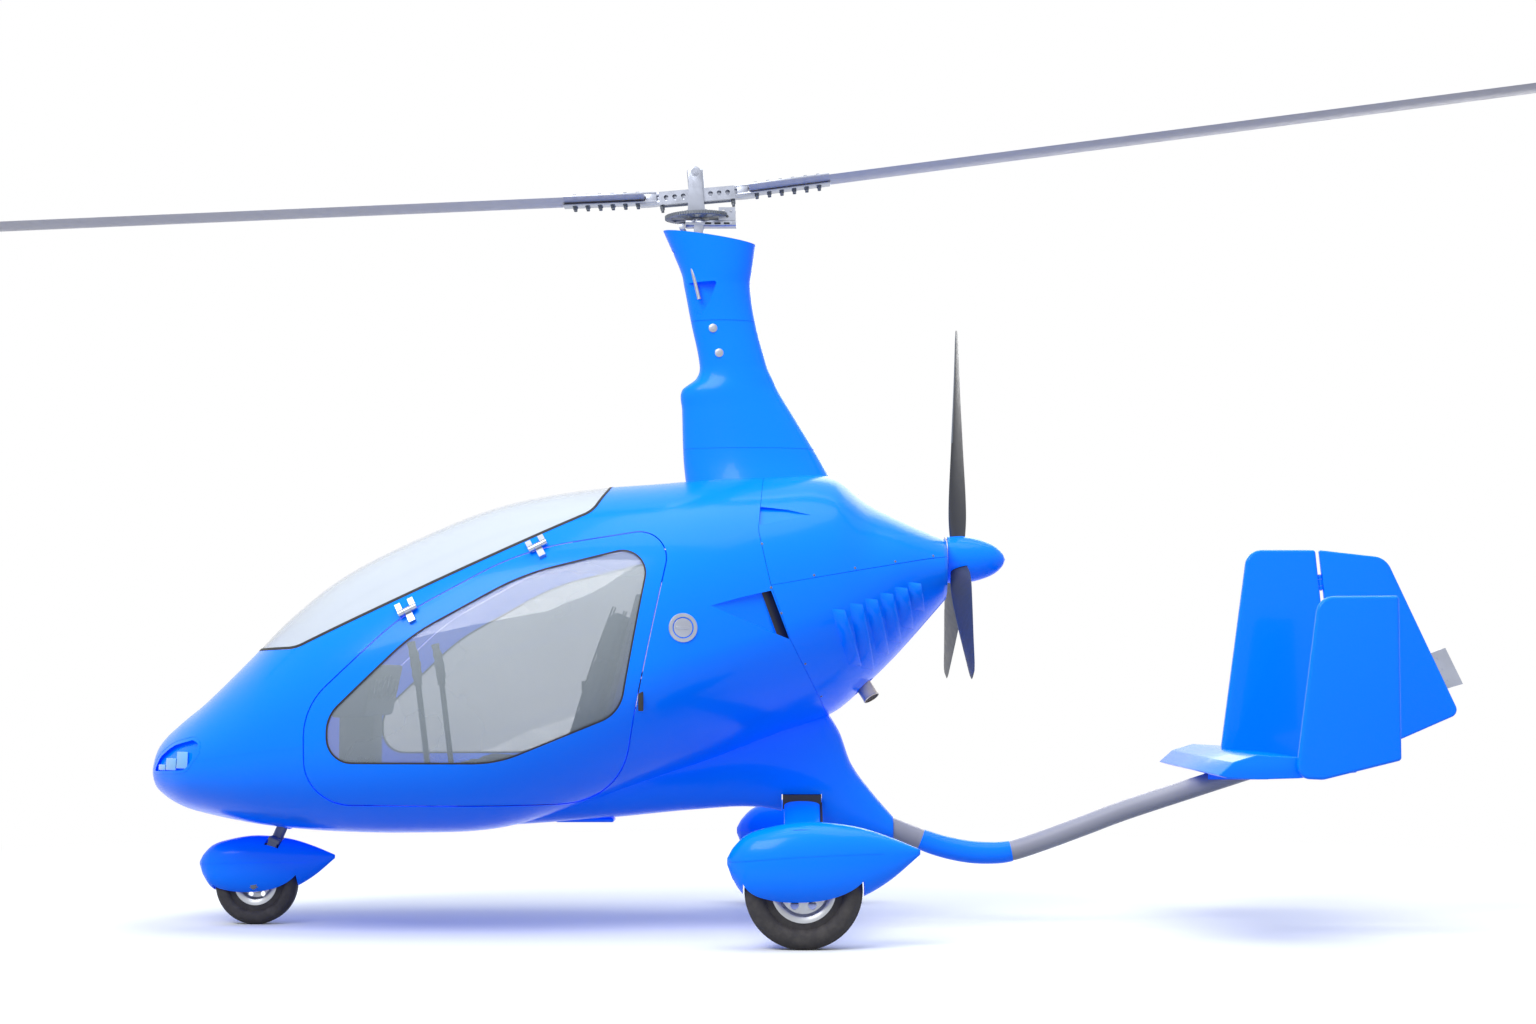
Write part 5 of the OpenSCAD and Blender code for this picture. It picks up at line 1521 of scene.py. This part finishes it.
# %% Finishes for plain pieces
engine_metal = surface("engine_metal", (0.20, 0.205, 0.21), rough=(0.35, 0.5), tone=0.12, grain=240, strength=0.15,
                       Metallic=0.7)
seat_cloth = surface("seat_cloth", (0.035, 0.036, 0.040), rough=(0.75, 0.9), tone=0.15, grain=900, strength=0.35)
lamp_white = surface("lamp_white", (0.80, 0.86, 0.90), rough=(0.06, 0.12), tone=0.02, grain=200, strength=0.01,
                     Coat_Weight=1.0)
dressed(["engine"], engine_metal)
dressed(["mast", "rudder_pedals"], grey_metal)
dressed(["rear_bulkhead", "cabin_floor"], cabin_trim)
dressed(["door_hinge_left", "door_hinge_right", "door_strap_left", "door_strap_right"], bare_metal)
print("finishes set")

# %% [markdown]
# ## Cowl details
# Hot air leaves through six gills in the lower cowl. Each is a pressed hood whose rear edge stands clear of the
# skin. Matt black sheets under the hoods and at the end of each side scoop are painted shade in their openings,
# and small screws hold the seams.

# %% Gills, painted shade in their openings, and screws
GILLS = [
    # top y and z, bottom y and z of the rear edge
    (0.562, 1.141, 0.626, 0.944), (0.626, 1.162, 0.676, 0.930), (0.680, 1.180, 0.730, 0.987),
    (0.737, 1.201, 0.776, 1.030), (0.791, 1.223, 0.819, 1.080), (0.841, 1.241, 0.858, 1.144)]


def gill(y0, z0, y1, z1, wide=0.050, high=0.027, thick=0.0022, first=0.0):
    """A pressed hood on the left skin: rises over its width, ends open at its rear edge."""
    def place(u, v):
        inner = u >= 0.5
        share = first + (1 - first) * (2 - 2 * u if inner else 2 * u)
        y, z = y0 + (y1 - y0) * v - wide * (1 - share), z0 + (z1 - z0) * v + wide * 0.10 * (1 - share)
        lift = high * math.sin(math.pi * (0.02 + 0.96 * v)) ** 0.55 * math.sin(math.pi / 2 * min(share / 0.82, 1.18))
        return Vector((skin_x(y, z) + lift - (thick if inner else -0.0004), y, z))
    bm = wrapped(36, 28, place)
    bmesh.ops.recalc_face_normals(bm, faces=bm.faces)
    return bm


hoods = [gill(*row) for row in GILLS]
# Thin matt black sheets just under each hood are painted shade in the gill openings.
gill_shade_sheets = [gill(y0 - 0.004, z0, y1 - 0.004, z1, 0.018, 0.0215, 0.020, 0.4) for y0, z0, y1, z1 in GILLS]
piece("cowl_gills_left", gathered(*hoods), blue_paint, "airframe", sharp=60)
piece("cowl_gills_right", mirrored_x(gathered(*[gill(*row) for row in GILLS])), blue_paint, "airframe",
      sharp=60)


# A matt black sheet at the deep end of each side scoop is painted shade in its opening.
def scoop_shade_sheet():
    points = []
    for (y, z), (dy, dz) in zip(SCOOP_MOUTH, ((-0.034, -0.006), (-0.044, 0.016))):
        for ay, az in ((y, z), (y + dy, z + dz)):
            x = skin_x(ay, az)
            points += [Vector((x - (0.0205 if ay == y else 0.0185), ay, az)), Vector((x - (0.0168 if ay == y else 0.0135), ay, az))]
    return hull_of(points)


cowl_shade_parts = [gathered(*gill_shade_sheets, scoop_shade_sheet()), mirrored_x(gathered(*[
    gill(y0 - 0.004, z0, y1 - 0.004, z1, 0.018, 0.0215, 0.020, 0.4) for y0, z0, y1, z1 in GILLS], scoop_shade_sheet()))]
piece("cowl_painted_shade", gathered(*cowl_shade_parts), matt_black, "airframe", sharp=60)

SCREWS = [(0.270, 1.371), (0.302, 1.216), (0.453, 1.262), (0.599, 1.291), (0.746, 1.318), (0.888, 1.343),
          (0.422, 0.951), (0.338, 1.127), (0.480, 0.835)]


def screws():
    parts = []
    for y, z in SCREWS:
        seat = on_skin(y, z)
        parts.append(placed(softened(rod((0, 0, -0.002), (0, 0, 0.0012), 0.0045, 20), 0.0006), seat))
        parts.append(placed(cuboid((-0.003, -0.0006, 0.0008), (0.003, 0.0006, 0.0016)), seat))
    return gathered(*parts)


piece("cowl_screws", gathered(screws(), mirrored_x(screws())), grey_metal, "airframe")
# A matt black block round the gear bow inside the keel's arch is painted shade in the gap round the bow.
painted_shade = [cuboid((-0.12, 0.342, 0.425), (0.12, 0.482, 0.4765))]
piece("gear_tunnel_painted_shade", gathered(*painted_shade), matt_black, "airframe")
print("cowl details done")

# %% [markdown]
# ## Nose lamps
# Each recess in the nose holds three lamps in steps, one above the other towards the rear.

# %% Nose lamps
LAMP_STEPS = [
    # front y, rear y, low z, high z
    (-1.905, -1.868, 0.570, 0.592), (-1.866, -1.816, 0.572, 0.616), (-1.814, -1.764, 0.580, 0.640)]


def lamps():
    parts = []
    for y0, y1, z0, z1 in LAMP_STEPS:
        corners = [(y, z) for y in (y0, y1) for z in (z0, z1)]
        block = hull_of([Vector((skin_x(y, z) - d, y, z)) for y, z in corners for d in (0.026, 0.007)])
        parts.append(softened(block, 0.003, 3, 20))
    return gathered(*parts)


lamp_lens = surface("lamp_lens", (0.16, 0.50, 0.95), rough=(0.05, 0.10), tone=0.02, grain=200, strength=0.01,
                    Coat_Weight=1.0)
piece("nose_lamps", gathered(lamps(), mirrored_x(lamps())), lamp_lens, "airframe", ["nose_lights"])
print("nose lamps done")

# %% [markdown]
# ## Seats
# Each seat is a thin moulded shell with two stuffed pads. The pads start a little small, and a short cloth
# simulation with pressure inside fills them. Right-hand pads are mirror images of the left-hand ones.

# %% Seats
def inside(x, y, z, room=0.045):
    """A point of the cabin, drawn in where it would come too near the skin."""
    return Vector((min(x, skin_x(y, z) - room), y, z))


def seat_shell():
    """The seat's shell: a base box, and a thin back that leans aft."""
    rim = [(y, z) for y in (-0.80, -0.68, -0.56, -0.46) for z in (0.440, 0.475, 0.515)]
    base = hull_of([inside(x, y, z) for x in (0.085, 0.535) for y, z in rim])
    rows = [(0.085, 0.530, -0.352, -0.330, 0.50), (0.085, 0.530, -0.325, -0.305, 0.60),
            (0.115, 0.495, -0.172, -0.155, 1.195)]
    back = hull_of([inside(x, y, z) for x0, x1, y0, y1, z in rows for x in (x0, x1) for y in (y0, y1)])
    return gathered(softened(base, 0.010, 3), softened(back, 0.006, 3))


def stuffed(name, block, body, cap):
    """A pad filled by a short cloth simulation: no point moves further than the cap."""
    pad = as_object(name, block)
    remesh = pad.modifiers.new("remesh", "REMESH")
    remesh.mode = "VOXEL"
    remesh.voxel_size = 0.006
    bpy.context.view_layer.update()
    mesh = bpy.data.meshes.new_from_object(pad.evaluated_get(bpy.context.evaluated_depsgraph_get()))
    pad.modifiers.clear()
    pad.data = mesh
    start = [v.co.copy() for v in mesh.vertices]
    cloth = pad.modifiers.new("cloth", "CLOTH")
    cloth.settings.use_pressure = True
    cloth.settings.uniform_pressure_force = 4
    cloth.settings.effector_weights.gravity = 0
    for step in range(1, 21):
        scene.frame_set(step)
    result = bpy.data.meshes.new_from_object(pad.evaluated_get(bpy.context.evaluated_depsgraph_get()))
    for vertex, origin in zip(result.vertices, start):
        move = vertex.co - origin
        if move.length > cap:
            vertex.co = origin + move.normalized() * cap
    pad.modifiers.clear()
    pad.data = result
    scene.frame_set(1)
    bm = bmesh.new()
    bm.from_mesh(pad.data)
    bpy.data.objects.remove(pad)
    return bm


def channels(bm, lines, deep, width=0.010):
    """Presses sewn channels into a pad: each line is a (point, direction across) pair."""
    for vertex in bm.verts:
        for point, across in lines:
            d = (vertex.co - Vector(point)).dot(Vector(across))
            if abs(d) < 2.5 * width:
                normal = vertex.normal
                vertex.co -= normal * deep * math.exp(-((d / width) ** 2))
    return bm


cushion_corners = [(-0.830, 0.532), (-0.815, 0.600), (-0.455, 0.522), (-0.440, 0.575)]
cushion_block = softened(hull_of([inside(x, y, z, 0.060) for x in (0.100, 0.520) for y, z in cushion_corners]),
                         0.020, 3)
back_way = (Vector((0, -0.235, 1.18)) - Vector((0, -0.43, 0.60))).normalized()
back_out = Vector((0, -back_way.z, back_way.y))
back_low = Vector((0, -0.398, 0.600))
back_block = softened(hull_of([Vector((x, 0, 0)) + back_low + back_way * t + back_out * d
                               for t, half in ((0.0, 0.205), (0.56, 0.175)) for x in (0.308 - half, 0.308 + half)
                               for d in (-0.012, 0.030)]), 0.014, 3)
cushion = stuffed("cushion", cushion_block, "airframe", 0.012)
cushion = channels(cushion, [((0.235, 0, 0), (1, 0, 0)), ((0.385, 0, 0), (1, 0, 0)), ((0, -0.62, 0), (0, 1, 0))], 0.007)
back_pad = stuffed("back_pad", back_block, "airframe", 0.012)
back_pad = channels(back_pad, [((0.235, 0, 0), (1, 0, 0)), ((0.385, 0, 0), (1, 0, 0)),
                               (back_low + back_way * 0.19, back_way), (back_low + back_way * 0.38, back_way)], 0.007)


def strap(points, wide, thick=0.0016):
    """Flat webbing through points, wide along x."""
    bm = bmesh.new()
    rows = []
    for k, p in enumerate(points):
        way = (Vector(points[min(k + 1, len(points) - 1)]) - Vector(points[max(k - 1, 0)])).normalized()
        out = Vector((0, -way.z, way.y)).normalized() * thick
        rows.append([bm.verts.new(Vector(p) + Vector((sx * wide / 2, 0, 0)) + out * so)
                     for sx, so in ((-1, -1), (1, -1), (1, 1), (-1, 1))])
    for a, b in zip(rows, rows[1:]):
        for n in range(4):
            bm.faces.new((a[n], a[(n + 1) % 4], b[(n + 1) % 4], b[n]))
    bm.faces.new(rows[0][::-1])
    bm.faces.new(rows[-1])
    bmesh.ops.recalc_face_normals(bm, faces=bm.faces)
    return bm


def harness():
    parts = []
    for x in (0.245, 0.371):
        line = [back_low + back_way * t + back_out * (0.047 - 0.004 * math.cos(t * 9)) + Vector((x, 0, 0))
                for t in [0.03 * k for k in range(1, 20)]]
        parts.append(strap(line, 0.045))
        buckle = softened(cuboid((-0.030, -0.006, -0.018), (0.030, 0.006, 0.018)), 0.003)
        parts.append(placed(buckle, Matrix.Translation(line[8] + back_out * 0.004)))
    return gathered(*parts)


harness_black = surface("harness_black", (0.02, 0.021, 0.024), rough=(0.6, 0.75), tone=0.1, grain=1200, strength=0.5)
for side, hand in ((1, "left"), (-1, "right")):
    def sided(bm):
        return bm.copy() if side > 0 else mirrored_x(bm.copy())
    piece(f"seat_shell_{hand}", seat_shell() if side > 0 else mirrored_x(seat_shell()), dark_composite,
          "airframe", [f"seat_{hand}"])
    for label, bm in (("cushion", cushion), ("back_pad", back_pad)):
        piece(f"seat_{label}_{hand}", sided(bm), seat_cloth, "airframe", sharp=80)
    piece(f"harness_{hand}", harness() if side > 0 else mirrored_x(harness()), harness_black, "airframe")
cushion.free()
back_pad.free()
print("seats done")

# %% [markdown]
# ## Instruments and sticks
# The panel stands on a pedestal, with a hood over it. Its dials are plain rings with a needle each and no
# writing. Each stick ends in a moulded grip.

# %% Instruments and sticks
panel_parts = [softened(prism([(-1.270, 0.760), (-1.225, 0.950), (-1.110, 0.950), (-1.150, 0.760)], -0.330, 0.330),
                        0.014, 3),
               softened(cuboid((-0.108, -1.278, 0.4305), (0.108, -1.152, 0.770)), 0.012, 3)]
piece("instrument_panel", gathered(*panel_parts), matt_black, "airframe", ["instrument_panel"])
face = Matrix((Vector((1, 0, 0)), Vector((0, 0.206, 0.9785)), Vector((0, 0.9785, -0.206)))).transposed().to_4x4()
rings, faces, needles = [], [], []
for k, (x, z, r) in enumerate(((-0.245, 0.862, 0.036), (-0.155, 0.862, 0.036), (-0.052, 0.870, 0.046),
                               (0.052, 0.870, 0.046), (0.155, 0.862, 0.036), (0.245, 0.862, 0.036))):
    seat = Matrix.Translation((x, -1.110 - (0.950 - z) * 0.2105, z)) @ face
    ring = carved(softened(rod((0, 0, -0.004), (0, 0, 0.006), r, 40), 0.0015),
                  [("DIFFERENCE", rod((0, 0, 0.001), (0, 0, 0.02), r - 0.005, 40))])
    rings.append(placed(ring, seat))
    faces.append(placed(rod((0, 0, -0.001), (0, 0, 0.0016), r - 0.0052, 40), seat))
    needle = softened(cuboid((-0.0012, -0.006, 0.002), (0.0012, r - 0.012, 0.0032)), 0.0004, 1)
    needles.append(placed(needle, seat @ Matrix.Rotation(0.9 * k - 2.0, 4, "Z")))
piece("dial_rings", gathered(*rings), dark_composite, "airframe")
piece("dial_faces", gathered(*faces), cabin_trim, "airframe")
piece("dial_needles", gathered(*needles), lamp_white, "airframe")


def stick():
    line = [(0.310, -0.905, 0.455), (0.310, -0.925, 0.60), (0.310, -0.950, 0.80), (0.310, -0.960, 0.880)]
    grip = [(0.310, -0.960, 0.875), (0.310, -0.966, 0.93), (0.310, -0.976, 0.985), (0.310, -0.988, 1.030)]
    parts = [tube(line, 0.0105, 24), tube(grip, lambda v: 0.0145 + 0.0035 * math.sin(math.pi * min(v * 1.1, 1)) +
                                          0.0012 * math.cos(v * 26), 28, 40)]
    for k in range(5):
        parts.append(softened(rod((0.310, -0.905, 0.431 + 0.010 * k), (0.310, -0.905, 0.439 + 0.010 * k),
                                  0.0255 - 0.003 * k, 32), 0.0025))
    return gathered(*parts)


piece("control_stick_left", stick(), black_rubber, "airframe", ["control_stick_left"])
piece("control_stick_right", mirrored_x(stick()), black_rubber, "airframe", ["control_stick_right"])
print("instruments done")
